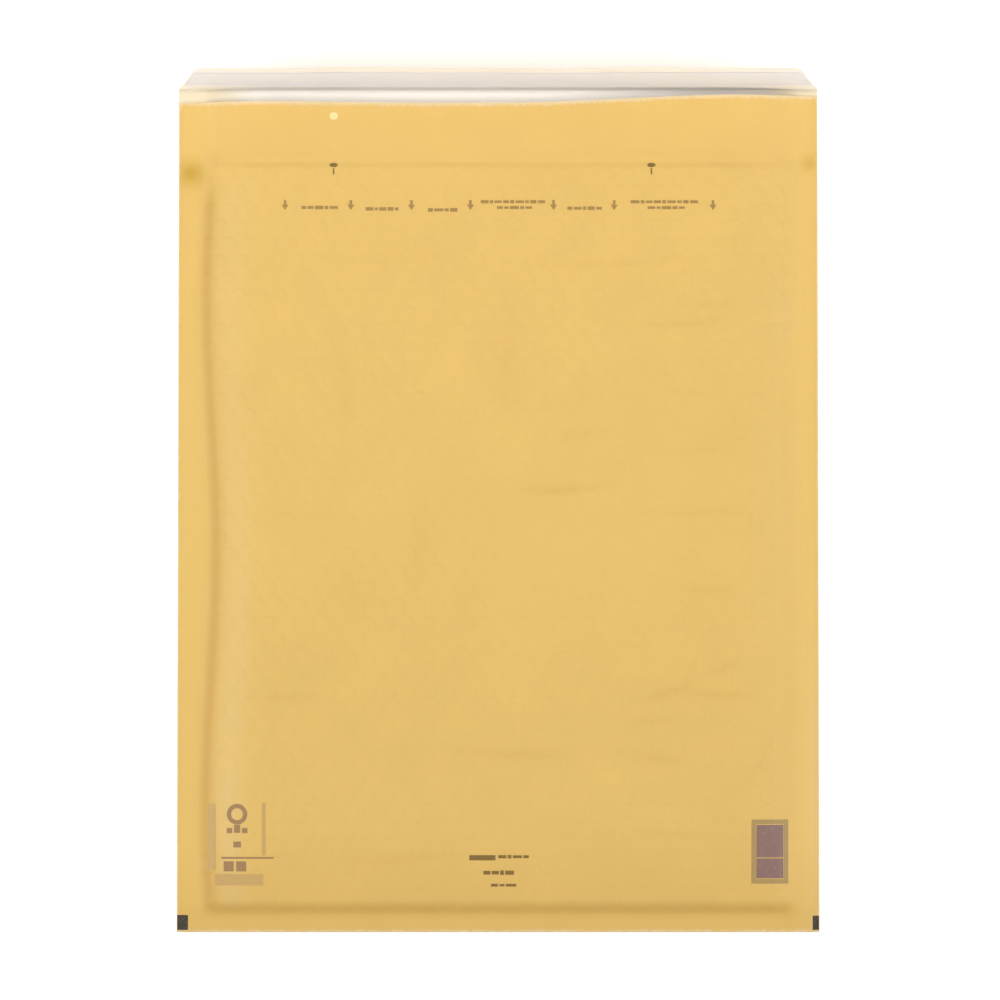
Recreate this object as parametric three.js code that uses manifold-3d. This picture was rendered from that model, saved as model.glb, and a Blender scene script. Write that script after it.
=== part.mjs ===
// A padded mailing envelope, empty, lying on its address side with the flap standing open.
// Millimetres, +Z up. X runs across the envelope and Y from its bottom fold to its mouth.
//
// kraft_sheet    one sheet of gold kraft paper: flap, crease, front panel, bottom fold, back panel
// bubble_lining  one folded bag of bubble film, welded into both side seams and open at the mouth
// adhesive_band  the self-seal glue on the inside of the flap
// release_liner  the pale strip that covers the glue until the envelope is used

import * as THREE from "three";
import { mergeVertices } from "three/addons/utils/BufferGeometryUtils.js";
import Module from "manifold-3d";

const wasm = await Module();
wasm.setup();

// Outer sheet. The paper is drawn about twice as thick as it is, so that it stays a sound solid.
const bodyWidth = 370;
const bodyLength = 480;
const paperThickness = 0.3;
const mouthSkew = 3.4; // the back panel is this much longer at its right than at its left
const creaseGap = 1.5; // from the back panel's longest point to the flap's crease
const creaseRadius = 3; // inside the bend

// Flap, measured from the crease to its tip.
const flapLength = 48.3;
const flapTaper = 12; // each side leans in by this much at the tip
const flapCorner = 5; // radius of the tip's two corners
const flapBaseAngle = 88; // degrees above the table
const flapTipAngle = 77;

// Self-seal closure on the inside of the flap. Starts are measured from the crease.
const linerStart = 14.3;
const linerWidth = 27;
const linerThickness = 0.3;
const linerInset = 0.8;
const glueStart = 17.3;
const glueWidth = 21;
const glueThickness = 0.3;
const glueInset = 4;

// Seams and margins, measured in from the outer edge to where the padding starts to rise.
const leftSeam = 12;
const leftRise = 11; // how far the padding takes to reach its full thickness
const rightSeam = 9;
const rightRise = 17;
const bottomMargin = 9;
const bottomRise = 9;
const seamWander = 2.8; // the left seam's inner line wavers by this much
const seamWanderLength = 290;
const seamWanderStart = 3.1; // where in its turn the wave is at the bottom fold
const edgeLift = 1.4; // how far the thin margins stand off the table

// Bubble film lining.
const bubbleWall = 3.4; // one wall, with its bubbles
const weldedFilm = 0.25; // one wall where it is welded flat
const weldGap = 0.15;
const liningBottom = 7; // from the bottom fold to the lining's own fold
const backLiningDrop = 40; // from the mouth down to the lining's edge on the back panel
const frontLiningDrop = 14;
const pocketEdge = 0.8; // from a seam's inner line to the pocket's corner
const layerClearance = 0.3;

// How far the pocket springs open, and the soft shapes of the back panel.
const pocketGap = 6.6;
const pocketSideRise = 42;
const pocketBottomRise = 70;
const pocketMouthFall = 0.8; // how much less it springs open towards the mouth
const lipGap = 7.6; // opening between the two panels at the mouth
const lipFall = 0.9;
const grooveDepth = 1.1; // the crease just past the lining's edge
const grooveWidth = 5;
const dentRadius = 9; // the dent in each seam, level with the groove
const dentInset = 7; // from the outer edge to the dent's middle
const dentShare = 0.7; // how far the dent presses the seam down to the table
const rippleHeight = 0.3;
const rippleAcross = 143;
const rippleAlong = 97;

const halfWidth = bodyWidth / 2;
const liningEdge = bodyLength - backLiningDrop;
const grooveLine = liningEdge + grooveWidth / 2;
const creaseLine = bodyLength + mouthSkew / 2 + creaseGap;
const turn = 2 * Math.PI;

// A smooth step from 0 to 1 as a distance goes from start to start + length.
function rise(distance, start, length) {
  const t = Math.min(Math.max((distance - start) / length, 0), 1);
  return t * t * (3 - 2 * t);
}

// How far the left seam's inner line has wandered, at a distance v from the bottom fold.
function wander(v) {
  return seamWander * Math.sin((turn * v) / seamWanderLength + seamWanderStart);
}

// A share from 0 at the seams and the bottom margin to 1 inside them.
function inside(x, v, leftLength, rightLength, bottomLength) {
  const left = rise(halfWidth + x, leftSeam + wander(v), leftLength);
  const right = rise(halfWidth - x, rightSeam, rightLength);
  return left * right * rise(v, bottomMargin, bottomLength);
}

// 1 where the lining has its full thickness.
function padding(x, v) {
  return inside(x, v, leftRise, rightRise, bottomRise);
}

// 1 where the lining's two walls have sprung fully apart.
function spring(x, v) {
  return inside(x, v, pocketSideRise, pocketSideRise, pocketBottomRise);
}

// Shallow waves in the back panel, from handling.
function ripple(x, v) {
  const along = Math.sin((turn * v) / rippleAlong + (turn * x) / bodyWidth);
  const across = Math.cos((turn * x) / rippleAcross);
  return rippleHeight * along * across * spring(x, v);
}

// 1 in the middle of the dent in each seam, and 0 outside it.
function dent(x, v) {
  const reach = Math.hypot(halfWidth - Math.abs(x) - dentInset, v - grooveLine);
  return rise(-reach, -dentRadius, dentRadius);
}

// Heights above the table of each face in the stack, from the lowest up.
function underside(x, v) {
  return edgeLift * (1 - padding(x, v)) * (1 - dentShare * dent(x, v));
}

function frontInside(x, v) {
  return underside(x, v) + paperThickness;
}

function liningLow(x, v) {
  return frontInside(x, v) + layerClearance;
}

function wall(x, v) {
  return weldedFilm + (bubbleWall - weldedFilm) * padding(x, v);
}

function pocketLow(x, v) {
  return liningLow(x, v) + wall(x, v);
}

function pocketHigh(x, v) {
  const opening = pocketGap - pocketMouthFall * rise(v, bodyLength / 2, bodyLength / 2);
  return pocketLow(x, v) + weldGap + opening * spring(x, v) + ripple(x, v);
}

function liningHigh(x, v) {
  return pocketHigh(x, v) + wall(x, v);
}

// The back panel's inner face lies on the lining up to its edge, and past that is a free lip.
function backInside(x, v) {
  const onLining = liningHigh(x, v) + layerClearance;
  const opening = lipGap - lipFall * rise(v, liningEdge, backLiningDrop);
  const seam = pocketLow(x, v) + weldGap + weldedFilm + layerClearance;
  const lip = seam + opening * spring(x, v) ** 0.7;
  const across = Math.min(Math.max((v - liningEdge) / grooveWidth, 0), 1);
  const groove = grooveDepth * spring(x, v) * Math.sin(Math.PI * across) ** 2;
  return onLining + (lip - onLining) * rise(v, liningEdge, 2 * grooveWidth) - groove;
}

// How far each side of the flap has drawn in, at a distance t from the crease.
function flapInset(t) {
  const corner = Math.max(t - (flapLength - flapCorner), 0);
  return (flapTaper * t) / flapLength + flapCorner - Math.sqrt(flapCorner ** 2 - corner ** 2);
}

// The point at a distance t up the flap, off millimetres in from its outer face.
function flapPoint(x, t, off) {
  const base = THREE.MathUtils.degToRad(flapBaseAngle);
  const bend = THREE.MathUtils.degToRad(flapTipAngle - flapBaseAngle) / flapLength;
  const angle = base + bend * t;
  const outer = creaseRadius + paperThickness;
  const y = creaseLine + outer * Math.sin(base) + (Math.sin(angle) - Math.sin(base)) / bend;
  const z = outer * (1 - Math.cos(base)) + (Math.cos(base) - Math.cos(angle)) / bend;
  const lift = underside(x, creaseLine) * (1 - t / flapLength);
  const narrowed = (x * (halfWidth - flapInset(t))) / halfWidth;
  return [narrowed, y - off * Math.sin(angle), z + lift + off * Math.cos(angle)];
}

// The point at an angle round the crease, off millimetres in from its outer face.
function creasePoint(x, angle, off) {
  const outer = creaseRadius + paperThickness;
  const radius = outer - off;
  const lift = underside(x, creaseLine);
  return [x, creaseLine + radius * Math.sin(angle), lift + outer - radius * Math.cos(angle)];
}

// The point at an angle round the bottom fold, from -90 degrees underneath to 90 on top.
function foldPoint(x, angle, off) {
  const low = frontInside(x, 0);
  const high = backInside(x, 0);
  const radius = (high - low) / 2 + paperThickness - off;
  return [x, -radius * Math.cos(angle), (low + high) / 2 + radius * Math.sin(angle)];
}

// Splits each stretch between two stops into the given number of equal steps.
function stations(stops, steps) {
  const list = [stops[0]];
  for (let i = 1; i < stops.length; i++) {
    for (let k = 1; k <= steps[i - 1]; k++) {
      list.push(stops[i - 1] + ((stops[i] - stops[i - 1]) * k) / steps[i - 1]);
    }
  }
  return list;
}

// Columns are distances from the left edge. Near the left seam they follow its wandering line.
function columnX(s, v) {
  const held = rise(s, 0, leftSeam) * (1 - rise(s, leftSeam + leftRise, 2 * pocketSideRise));
  return s - halfWidth + wander(v) * held;
}

const columns = stations(
  [
    0,
    leftSeam,
    leftSeam + leftRise,
    leftSeam + pocketSideRise,
    bodyWidth - rightSeam - pocketSideRise,
    bodyWidth - rightSeam - rightRise,
    bodyWidth - rightSeam,
    bodyWidth,
  ],
  [2, 3, 3, 7, 2, 4, 2],
);

const panelRows = stations(
  [
    0,
    liningBottom,
    bottomMargin,
    bottomMargin + bottomRise,
    bottomMargin + pocketBottomRise,
    liningEdge,
    grooveLine + grooveWidth / 2,
    bodyLength,
  ],
  [2, 1, 3, 3, 10, 4, 3],
);

// A closed solid between two grids of points that have the same rows and columns. Looked at
// from outside the outer grid, its rows run up the page and its columns to the right. Each
// quad is split along its higher diagonal, so faces that lie on each other split alike.
function shell(outer, inner) {
  const rows = outer.length;
  const count = outer[0].length;
  const positions = new Float32Array([...outer.flat(2), ...inner.flat(2)]);
  const out = (r, c) => r * count + c;
  const back = (r, c) => (rows + r) * count + c;
  const faces = [];
  const height = (i) => positions[3 * i + 2];
  const quad = (a, b, c, d) => {
    if (height(a) + height(c) >= height(b) + height(d)) faces.push(a, b, c, a, c, d);
    else faces.push(b, c, d, b, d, a);
  };
  for (let r = 0; r + 1 < rows; r++) {
    for (let c = 0; c + 1 < count; c++) {
      quad(out(r, c), out(r, c + 1), out(r + 1, c + 1), out(r + 1, c));
      quad(back(r, c), back(r + 1, c), back(r + 1, c + 1), back(r, c + 1));
    }
    const last = count - 1;
    quad(out(r, 0), out(r + 1, 0), back(r + 1, 0), back(r, 0));
    quad(out(r, last), back(r, last), back(r + 1, last), out(r + 1, last));
  }
  for (let c = 0; c + 1 < count; c++) {
    const end = rows - 1;
    quad(out(0, c), back(0, c), back(0, c + 1), out(0, c + 1));
    quad(out(end, c), out(end, c + 1), back(end, c + 1), back(end, c));
  }
  const geometry = new THREE.BufferGeometry();
  geometry.setAttribute("position", new THREE.BufferAttribute(positions, 3));
  geometry.setIndex(faces);
  return geometry;
}

// A grid of points on a height above the panel, from the mouth end down to the bottom end.
function heightGrid(across, along, height) {
  const downwards = [...along].sort((a, b) => b - a);
  return downwards.map((v) =>
    across.map((s) => {
      const x = columnX(s, v);
      return [x, v, height(x, v)];
    }),
  );
}

function toSolid(geometry) {
  const bare = mergeVertices(geometry, 1e-4);
  const mesh = new wasm.Mesh({
    numProp: 3,
    vertProperties: bare.attributes.position.array,
    triVerts: new Uint32Array(bare.index.array),
  });
  return new wasm.Manifold(mesh);
}

function toGeometry(solid) {
  const mesh = solid.getMesh();
  const geometry = new THREE.BufferGeometry();
  geometry.setAttribute("position", new THREE.BufferAttribute(mesh.vertProperties, 3));
  geometry.setIndex(new THREE.BufferAttribute(mesh.triVerts, 1));
  return geometry;
}

// The paper is one strip carried through flap, crease, front panel, bottom fold and back panel.
function kraftSheet() {
  const outer = [];
  const inner = [];
  const addRow = (v, point) => {
    outer.push(columns.map((s) => point(columnX(s, v), 0)));
    inner.push(columns.map((s) => point(columnX(s, v), paperThickness)));
  };
  const corner = stations([90, 30], [4]).map((degrees) => {
    const rounded = Math.sin(THREE.MathUtils.degToRad(degrees));
    return flapLength - flapCorner * (1 - rounded);
  });
  const straight = stations([flapLength - flapCorner, 0], [4]);
  for (const t of [...corner, ...straight]) {
    addRow(creaseLine, (x, off) => flapPoint(x, t, off));
  }
  const base = THREE.MathUtils.degToRad(flapBaseAngle);
  for (const angle of stations([base, 0], [4]).slice(1)) {
    addRow(creaseLine, (x, off) => creasePoint(x, angle, off));
  }
  for (const v of [...panelRows].reverse()) {
    addRow(v, (x, off) => [x, v, underside(x, v) + off]);
  }
  for (const angle of stations([-Math.PI / 2, Math.PI / 2], [6]).slice(1, -1)) {
    addRow(0, (x, off) => foldPoint(x, angle, off));
  }
  for (const v of panelRows) {
    addRow(v, (x, off) => {
      const skew = (mouthSkew * x * rise(v, grooveLine, bodyLength - grooveLine)) / bodyWidth;
      return [x, v + skew, backInside(x, v + skew) + paperThickness - off];
    });
  }
  return shell(outer, inner);
}

// The lining is the whole padded form, with the pocket and the free mouth cut out of it.
function bubbleLining() {
  const top = bodyLength - frontLiningDrop;
  const along = panelRows.filter((v) => v > liningBottom && v < top);
  const whole = [liningBottom, ...along, top];
  const body = toSolid(
    shell(heightGrid(columns, whole, liningLow), heightGrid(columns, whole, liningHigh)),
  );
  const left = leftSeam + pocketEdge;
  const right = bodyWidth - rightSeam - pocketEdge;
  const across = [left, ...columns.filter((s) => s > left && s < right), right];
  const floor = bottomMargin + pocketEdge;
  const deep = [floor, ...along.filter((v) => v > floor), top + layerClearance];
  const pocket = toSolid(
    shell(heightGrid(across, deep, pocketLow), heightGrid(across, deep, pocketHigh)),
  );
  const free = deep.filter((v) => v >= liningEdge);
  const above = (x, v) => liningHigh(x, v) + bubbleWall;
  const within = (x, v) => pocketLow(x, v) + weldGap / 2;
  const mouth = toSolid(
    shell(heightGrid(across, free, within), heightGrid(across, free, above)),
  );
  return toGeometry(body.subtract(pocket).subtract(mouth));
}

// A flat strip that follows the flap's inner face, lying the given distance off it.
function flapStrip(start, width, inset, off, thickness) {
  const share = (halfWidth - inset) / halfWidth;
  const across = stations([-halfWidth * share, halfWidth * share], [8]);
  const up = stations([start + width, start], [4]);
  const outer = up.map((t) => across.map((x) => flapPoint(x, t, off)));
  const inner = up.map((t) => across.map((x) => flapPoint(x, t, off + thickness)));
  return shell(outer, inner);
}

function piece(name, geometry, color, roughness) {
  geometry.computeVertexNormals();
  const material = new THREE.MeshStandardMaterial({ color, roughness, metalness: 0 });
  const mesh = new THREE.Mesh(geometry, material);
  mesh.name = name;
  return mesh;
}

const glueOff = paperThickness + layerClearance;
const linerOff = glueOff + glueThickness + layerClearance;

const envelope = new THREE.Group();
envelope.add(
  piece("kraft_sheet", kraftSheet(), 0xe3b767, 0.72),
  piece("bubble_lining", bubbleLining(), 0xe6eaea, 0.28),
  piece(
    "adhesive_band",
    flapStrip(glueStart, glueWidth, glueInset, glueOff, glueThickness),
    0xefe9d2,
    0.35,
  ),
  piece(
    "release_liner",
    flapStrip(linerStart, linerWidth, linerInset, linerOff, linerThickness),
    0xf1ecec,
    0.42,
  ),
);

// The origin is on the table, under the middle of the envelope's bounding box.
const bounds = new THREE.Box3().setFromObject(envelope);
envelope.position.y = -(bounds.min.y + bounds.max.y) / 2;

const part = new THREE.Group();
part.add(envelope);

export default part;
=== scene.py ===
"""The looks of a large padded mailing envelope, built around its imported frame.

The envelope is empty and lies on its address side, and its self-seal flap stands open. Every
surface is a function of two parameters, worked out on a grid: x runs across the envelope from
its middle line and v along a panel from the bottom fold, both in millimetres. The finished
meshes are in metres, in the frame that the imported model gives.
"""

from __future__ import annotations

import logging
import math
from dataclasses import dataclass, field
from enum import Enum
from typing import Callable

import bpy
import numpy as np
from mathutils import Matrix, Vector

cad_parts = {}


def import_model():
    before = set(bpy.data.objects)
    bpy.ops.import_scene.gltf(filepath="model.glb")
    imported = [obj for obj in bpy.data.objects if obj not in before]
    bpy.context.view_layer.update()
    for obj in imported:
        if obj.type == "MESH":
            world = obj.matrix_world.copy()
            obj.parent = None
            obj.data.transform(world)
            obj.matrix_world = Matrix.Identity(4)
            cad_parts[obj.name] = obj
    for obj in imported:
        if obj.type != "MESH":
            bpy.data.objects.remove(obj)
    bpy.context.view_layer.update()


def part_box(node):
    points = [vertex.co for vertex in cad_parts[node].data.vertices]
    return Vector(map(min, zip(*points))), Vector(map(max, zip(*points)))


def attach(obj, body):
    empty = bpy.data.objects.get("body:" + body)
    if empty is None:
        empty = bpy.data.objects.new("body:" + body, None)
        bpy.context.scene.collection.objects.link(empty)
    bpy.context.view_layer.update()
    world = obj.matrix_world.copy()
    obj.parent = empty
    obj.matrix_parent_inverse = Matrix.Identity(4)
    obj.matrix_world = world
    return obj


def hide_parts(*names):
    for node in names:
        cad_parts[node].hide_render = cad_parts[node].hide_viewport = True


LOG = logging.getLogger("padded_envelope")

MM = 0.001
TURN = 2 * math.pi
BODY = "root"

Array = np.ndarray


# Shared maths


def rise(distance: Array, start: float | Array, length: float) -> Array:
    """A smooth step from 0 to 1: t squared times (3 - 2t), with t the share of the way.

    Args:
        distance: where to work it out.
        start: the distance at which the step starts.
        length: how long the step takes.

    Returns:
        The step's height at each distance.
    """
    t = np.clip((distance - start) / length, 0.0, 1.0)
    return t * t * (3 - 2 * t)


def bell(distance: Array, width: float) -> Array:
    """A rounded hump that is 1 at distance 0: e to the power of minus (distance / width) squared."""
    return np.exp(-((distance / width) ** 2))


def stations(stops: list[float], steps: list[int]) -> Array:
    """Splits each stretch between two stops into equal steps.

    Args:
        stops: the places that have to be met, in order.
        steps: how many steps each stretch between two of them gets.

    Returns:
        Every place, from the first stop to the last.
    """
    parts = [np.linspace(a, b, n + 1)[:-1] for a, b, n in zip(stops, stops[1:], steps)]
    return np.concatenate([*parts, [stops[-1]]])


# The envelope's form


@dataclass(frozen=True)
class Crease:
    """One soft crease in the back panel: a narrow valley along a straight line.

    Its depth at a point is depth times e to the power of minus (distance across / width), times
    a hump that fades to 0 at the line's two ends.
    """

    x: float
    v: float
    length: float
    tilt: float
    depth: float
    width: float

    def height(self, x: Array, v: Array) -> Array:
        """How far the crease lifts each point of the panel, which is below 0.

        Args:
            x: place across the body.
            v: place along the panel.

        Returns:
            The lift at each point.
        """
        angle = math.radians(self.tilt)
        dx, dv = x - self.x, v - self.v
        along = dx * math.cos(angle) + dv * math.sin(angle)
        across = dv * math.cos(angle) - dx * math.sin(angle)
        share = np.clip(np.abs(along) / (self.length / 2), 0.0, 1.0)
        bow = 0.04 * self.length * share**2
        valley = np.exp(-np.sqrt((across - bow) ** 2 + 0.4) / self.width)
        return -self.depth * valley * (1 - share**2) ** 2


HANDLING = (
    Crease(43, 254, 66, 4, 0.55, 1.7),
    Crease(28, 253, 46, -3, 0.35, 1.5),
    Crease(45, 285, 50, 2, 0.35, 1.6),
    Crease(30, 302, 24, 8, 0.30, 1.5),
    Crease(66, 384, 128, 3, 0.35, 1.7),
    Crease(-68, 386, 90, -1, 0.25, 1.6),
    Crease(111, 350, 62, 5, 0.45, 1.7),
    Crease(118, 361, 50, -4, 0.35, 1.5),
    Crease(112, 310, 44, -7, 0.30, 1.5),
    Crease(112, 276, 70, 2, 0.30, 1.6),
    Crease(108, 241, 76, 0, 0.35, 1.7),
    Crease(118, 196, 52, -2, 0.35, 1.6),
    Crease(122, 136, 70, -5, 0.55, 1.8),
    Crease(92, 135, 34, 14, 0.50, 1.6),
    Crease(128, 150, 34, 24, 0.45, 1.6),
    Crease(110, 146, 30, 74, 0.45, 1.6),
    Crease(88, 120, 40, 9, 0.35, 1.5),
    Crease(10, 101, 112, -2, 0.45, 1.8),
    Crease(90, 99, 56, -5, 0.45, 1.7),
    Crease(-122, 134, 56, 1, 0.40, 1.6),
    Crease(-100, 238, 60, 0, 0.25, 1.5),
    Crease(-68, 188, 30, 2, 0.25, 1.5),
    Crease(-45, 215, 90, 86, 0.30, 3.4),
    Crease(-88, 300, 120, 88, 0.26, 3.4),
    Crease(6, 330, 110, 87, 0.26, 3.4),
    Crease(-60, 40, 92, 3, 0.40, 1.8),
    Crease(96, 56, 66, -4, 0.35, 1.7),
    Crease(150, 96, 40, 62, 0.35, 1.6),
)


@dataclass(frozen=True)
class EnvelopeForm:
    """The envelope's sizes in millimetres, and the height above the table of each layer.

    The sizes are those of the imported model. Each method takes arrays of one shape and gives an
    array of that shape.
    """

    body_width: float = 370.0
    body_length: float = 480.0
    paper: float = 0.3
    mouth_skew: float = 3.4
    mouth_step: float = 3.6
    mouth_step_start: float = 20.0
    mouth_step_length: float = 120.0
    mouth_sag: float = 1.2
    mouth_sag_place: float = -30.0
    mouth_sag_width: float = 80.0
    crease_gap: float = 1.5
    crease_radius: float = 3.0
    flap_length: float = 48.3
    flap_taper: float = 12.0
    flap_corner: float = 5.0
    flap_base_angle: float = 88.0
    flap_tip_angle: float = 77.0
    left_seam: float = 12.0
    left_rise: float = 11.0
    right_seam: float = 9.0
    right_rise: float = 17.0
    bottom_margin: float = 9.0
    bottom_rise: float = 9.0
    seam_wander: float = 2.8
    seam_wander_length: float = 290.0
    seam_wander_start: float = 3.1
    edge_lift: float = 1.4
    bubble_wall: float = 3.4
    welded_film: float = 0.25
    weld_gap: float = 0.15
    lining_bottom: float = 7.0
    back_lining_drop: float = 40.0
    front_lining_drop: float = 14.0
    clearance: float = 0.3
    pocket_gap: float = 6.6
    pocket_side_rise: float = 42.0
    pocket_bottom_rise: float = 70.0
    pocket_mouth_fall: float = 0.8
    lip_gap: float = 7.6
    lip_fall: float = 0.9
    groove_depth: float = 0.95
    groove_width: float = 5.0
    groove_lead: float = 0.8
    groove_spread: float = 7.5
    dent_radius: float = 9.0
    dent_inset: float = 7.0
    dent_share: float = 0.7
    ripple_height: float = 0.3
    ripple_across: float = 143.0
    ripple_along: float = 97.0
    weld_depth: float = 0.85
    weld_inset: float = 7.5
    weld_start: float = 12.0
    weld_stop: float = 24.0
    weld_stop_lead: float = 26.0
    pucker_height: float = 0.2
    pucker_pitch: float = 15.0
    slack_height: float = 0.16
    fine_slack_height: float = 0.10
    lip_calm: float = 0.6
    flap_wave: float = 0.3

    @property
    def half_width(self) -> float:
        """Half the body's width."""
        return self.body_width / 2

    @property
    def lining_edge(self) -> float:
        """Where the back panel's lining ends, as a distance from the bottom fold."""
        return self.body_length - self.back_lining_drop

    @property
    def groove_line(self) -> float:
        """The middle of the groove just past the lining's edge."""
        return self.lining_edge + self.groove_width / 2

    @property
    def crease_line(self) -> float:
        """Where the front panel turns up into the flap."""
        return self.body_length + self.mouth_skew / 2 + self.crease_gap

    @property
    def column_stops(self) -> list[float]:
        """Distances from the left edge at which the padding and the pocket start and end.

        Returns:
            The stops, from the left edge to the right edge.
        """
        left, right = self.left_seam, self.body_width - self.right_seam
        side = self.pocket_side_rise
        inner = [left, left + self.left_rise, left + side, right - side, right - self.right_rise]
        return [0.0, *inner, right, self.body_width]

    @property
    def fold_radius(self) -> float:
        """The outer radius of the bottom fold, half of the stack that it wraps."""
        stack = 2 * self.clearance + 2 * self.welded_film + self.weld_gap
        return stack / 2 + self.paper

    def mouth_shift(self, x: Array) -> Array:
        """How far the back panel's edge lies off its mean line: a smooth step less a sag."""
        step = self.mouth_step * (rise(x, self.mouth_step_start, self.mouth_step_length) - 1 / 3)
        return step - self.mouth_sag * bell(x - self.mouth_sag_place, self.mouth_sag_width)

    def wander(self, v: Array) -> Array:
        """How far the left seam's inner line has wandered: a sine of the distance up the seam."""
        turned = TURN * v / self.seam_wander_length + self.seam_wander_start
        return self.seam_wander * np.sin(turned)

    def inside(self, x: Array, v: Array, left: float, right: float, bottom: float) -> Array:
        """A product of three smooth steps in from the left seam, right seam and bottom margin.

        Args:
            x: place across the body.
            v: place along the panel.
            left: how long the step from the left seam is.
            right: how long the step from the right seam is.
            bottom: how long the step from the bottom margin is.

        Returns:
            The product, from 0 to 1.
        """
        from_left = rise(self.half_width + x, self.left_seam + self.wander(v), left)
        from_right = rise(self.half_width - x, self.right_seam, right)
        return from_left * from_right * rise(v, self.bottom_margin, bottom)

    def padding(self, x: Array, v: Array) -> Array:
        """1 where the lining has its full thickness, 0 where it is welded."""
        return self.inside(x, v, self.left_rise, self.right_rise, self.bottom_rise)

    def spring(self, x: Array, v: Array) -> Array:
        """1 where the lining's two walls have sprung fully apart."""
        side = self.pocket_side_rise
        return self.inside(x, v, side, side, self.pocket_bottom_rise)

    def ripple(self, x: Array, v: Array) -> Array:
        """Shallow waves: a sine along the panel times a cosine across it.

        Args:
            x: place across the body.
            v: place along the panel.

        Returns:
            The height of the waves.
        """
        along = np.sin(TURN * v / self.ripple_along + TURN * x / self.body_width)
        across = np.cos(TURN * x / self.ripple_across)
        return self.ripple_height * along * across * self.spring(x, v)

    def dent(self, x: Array, v: Array) -> Array:
        """1 in the middle of the dent in each seam, and 0 outside its radius."""
        reach = np.hypot(self.half_width - np.abs(x) - self.dent_inset, v - self.groove_line)
        return rise(-reach, -self.dent_radius, self.dent_radius)

    def pucker(self, x: Array, v: Array) -> Array:
        """Small gathers along the seams and the bottom margin, where the padding starts.

        The height is a sine along the seam, with a pitch that drifts, times 4p(1 - p), with p
        the padding's share, so that it is 0 where the padding is flat or full.

        Args:
            x: place across the body.
            v: place along the panel.

        Returns:
            The height of the gathers.
        """
        p = self.padding(x, v)
        drift = 1.3 * np.sin(v / 41) + 0.9 * np.sin(v / 17 + x / 60)
        up = np.sin(TURN * v / self.pucker_pitch + drift + np.sign(x))
        along = np.sin(TURN * x / (1.7 * self.pucker_pitch) + 0.8 * np.sin(x / 29))
        low = 1 - rise(v, 2 * self.bottom_margin, self.bottom_rise)
        wave = up * (1 - low) + 0.6 * along * low
        return self.pucker_height * wave * 4 * p * (1 - p) * (1 - self.dent(x, v))

    def weld(self, x: Array, v: Array, width: float = 3.1, aside: float = 0.0) -> Array:
        """The share of a narrow valley along the left seam, where the lining is welded.

        Args:
            x: place across the body.
            v: place along the panel.
            width: how wide the valley is.
            aside: how far in from the weld its line is.

        Returns:
            The share, from 0 to 1.
        """
        line = self.half_width + x - self.left_seam - self.wander(v) - self.weld_inset
        last = self.groove_line - self.weld_stop_lead
        ends = rise(v, self.bottom_margin, self.weld_start) * (1 - rise(v, last, self.weld_stop))
        return bell(line - aside, width) * ends

    def handled(self, x: Array, v: Array) -> Array:
        """What handling has done to the back panel: creases, puckers and slack between them.

        The slack is the sum of two products of sines with long, uneven periods. It fades with
        the padding, and both it and the creases are calmer on the free lip.

        Args:
            x: place across the body.
            v: place along the panel.

        Returns:
            How far handling lifts each point.
        """
        on_pad = rise(self.half_width - np.abs(x), self.left_seam, self.left_rise)
        on_pad = on_pad * rise(v, self.bottom_margin, self.bottom_rise)
        creases = sum(crease.height(x, v) for crease in HANDLING)
        broad = np.sin(x / 23 + 1.1 * np.sin(v / 37)) * np.sin(v / 19 + 0.7)
        fine = np.sin(x / 11 - v / 31) * np.sin(v / 9.5 + x / 47)
        slack = self.slack_height * broad + self.fine_slack_height * fine
        near_mouth = 1 - self.lip_calm * rise(v, self.lining_edge, self.groove_width)
        made = (creases + slack * self.spring(x, v)) * on_pad * near_mouth
        return made + self.pucker(x, v) - self.weld_depth * self.weld(x, v)

    def underside(self, x: Array, v: Array) -> Array:
        """The front panel's outer face: on the table, and lifted a little at the margins."""
        return self.edge_lift * (1 - self.padding(x, v)) * (1 - self.dent_share * self.dent(x, v))

    def front_inside(self, x: Array, v: Array) -> Array:
        """The front panel's inner face."""
        return self.underside(x, v) + self.paper

    def wall(self, x: Array, v: Array) -> Array:
        """The thickness of one wall of the lining, with its bubbles."""
        return self.welded_film + (self.bubble_wall - self.welded_film) * self.padding(x, v)

    def lining_low(self, x: Array, v: Array) -> Array:
        """The outer face of the lining's front wall."""
        return self.front_inside(x, v) + self.clearance

    def pocket_low(self, x: Array, v: Array) -> Array:
        """The inner face of the lining's front wall."""
        return self.lining_low(x, v) + self.wall(x, v)

    def lining_high(self, x: Array, v: Array) -> Array:
        """The outer face of the lining's back wall, as it sprang open and was handled.

        Args:
            x: place across the body.
            v: place along the panel.

        Returns:
            Its height above the table.
        """
        fall = self.pocket_mouth_fall * rise(v, self.body_length / 2, self.body_length / 2)
        opening = (self.pocket_gap - fall) * self.spring(x, v) + self.ripple(x, v)
        high = self.pocket_low(x, v) + self.weld_gap + opening + self.wall(x, v)
        return high + self.handled(x, v)

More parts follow.
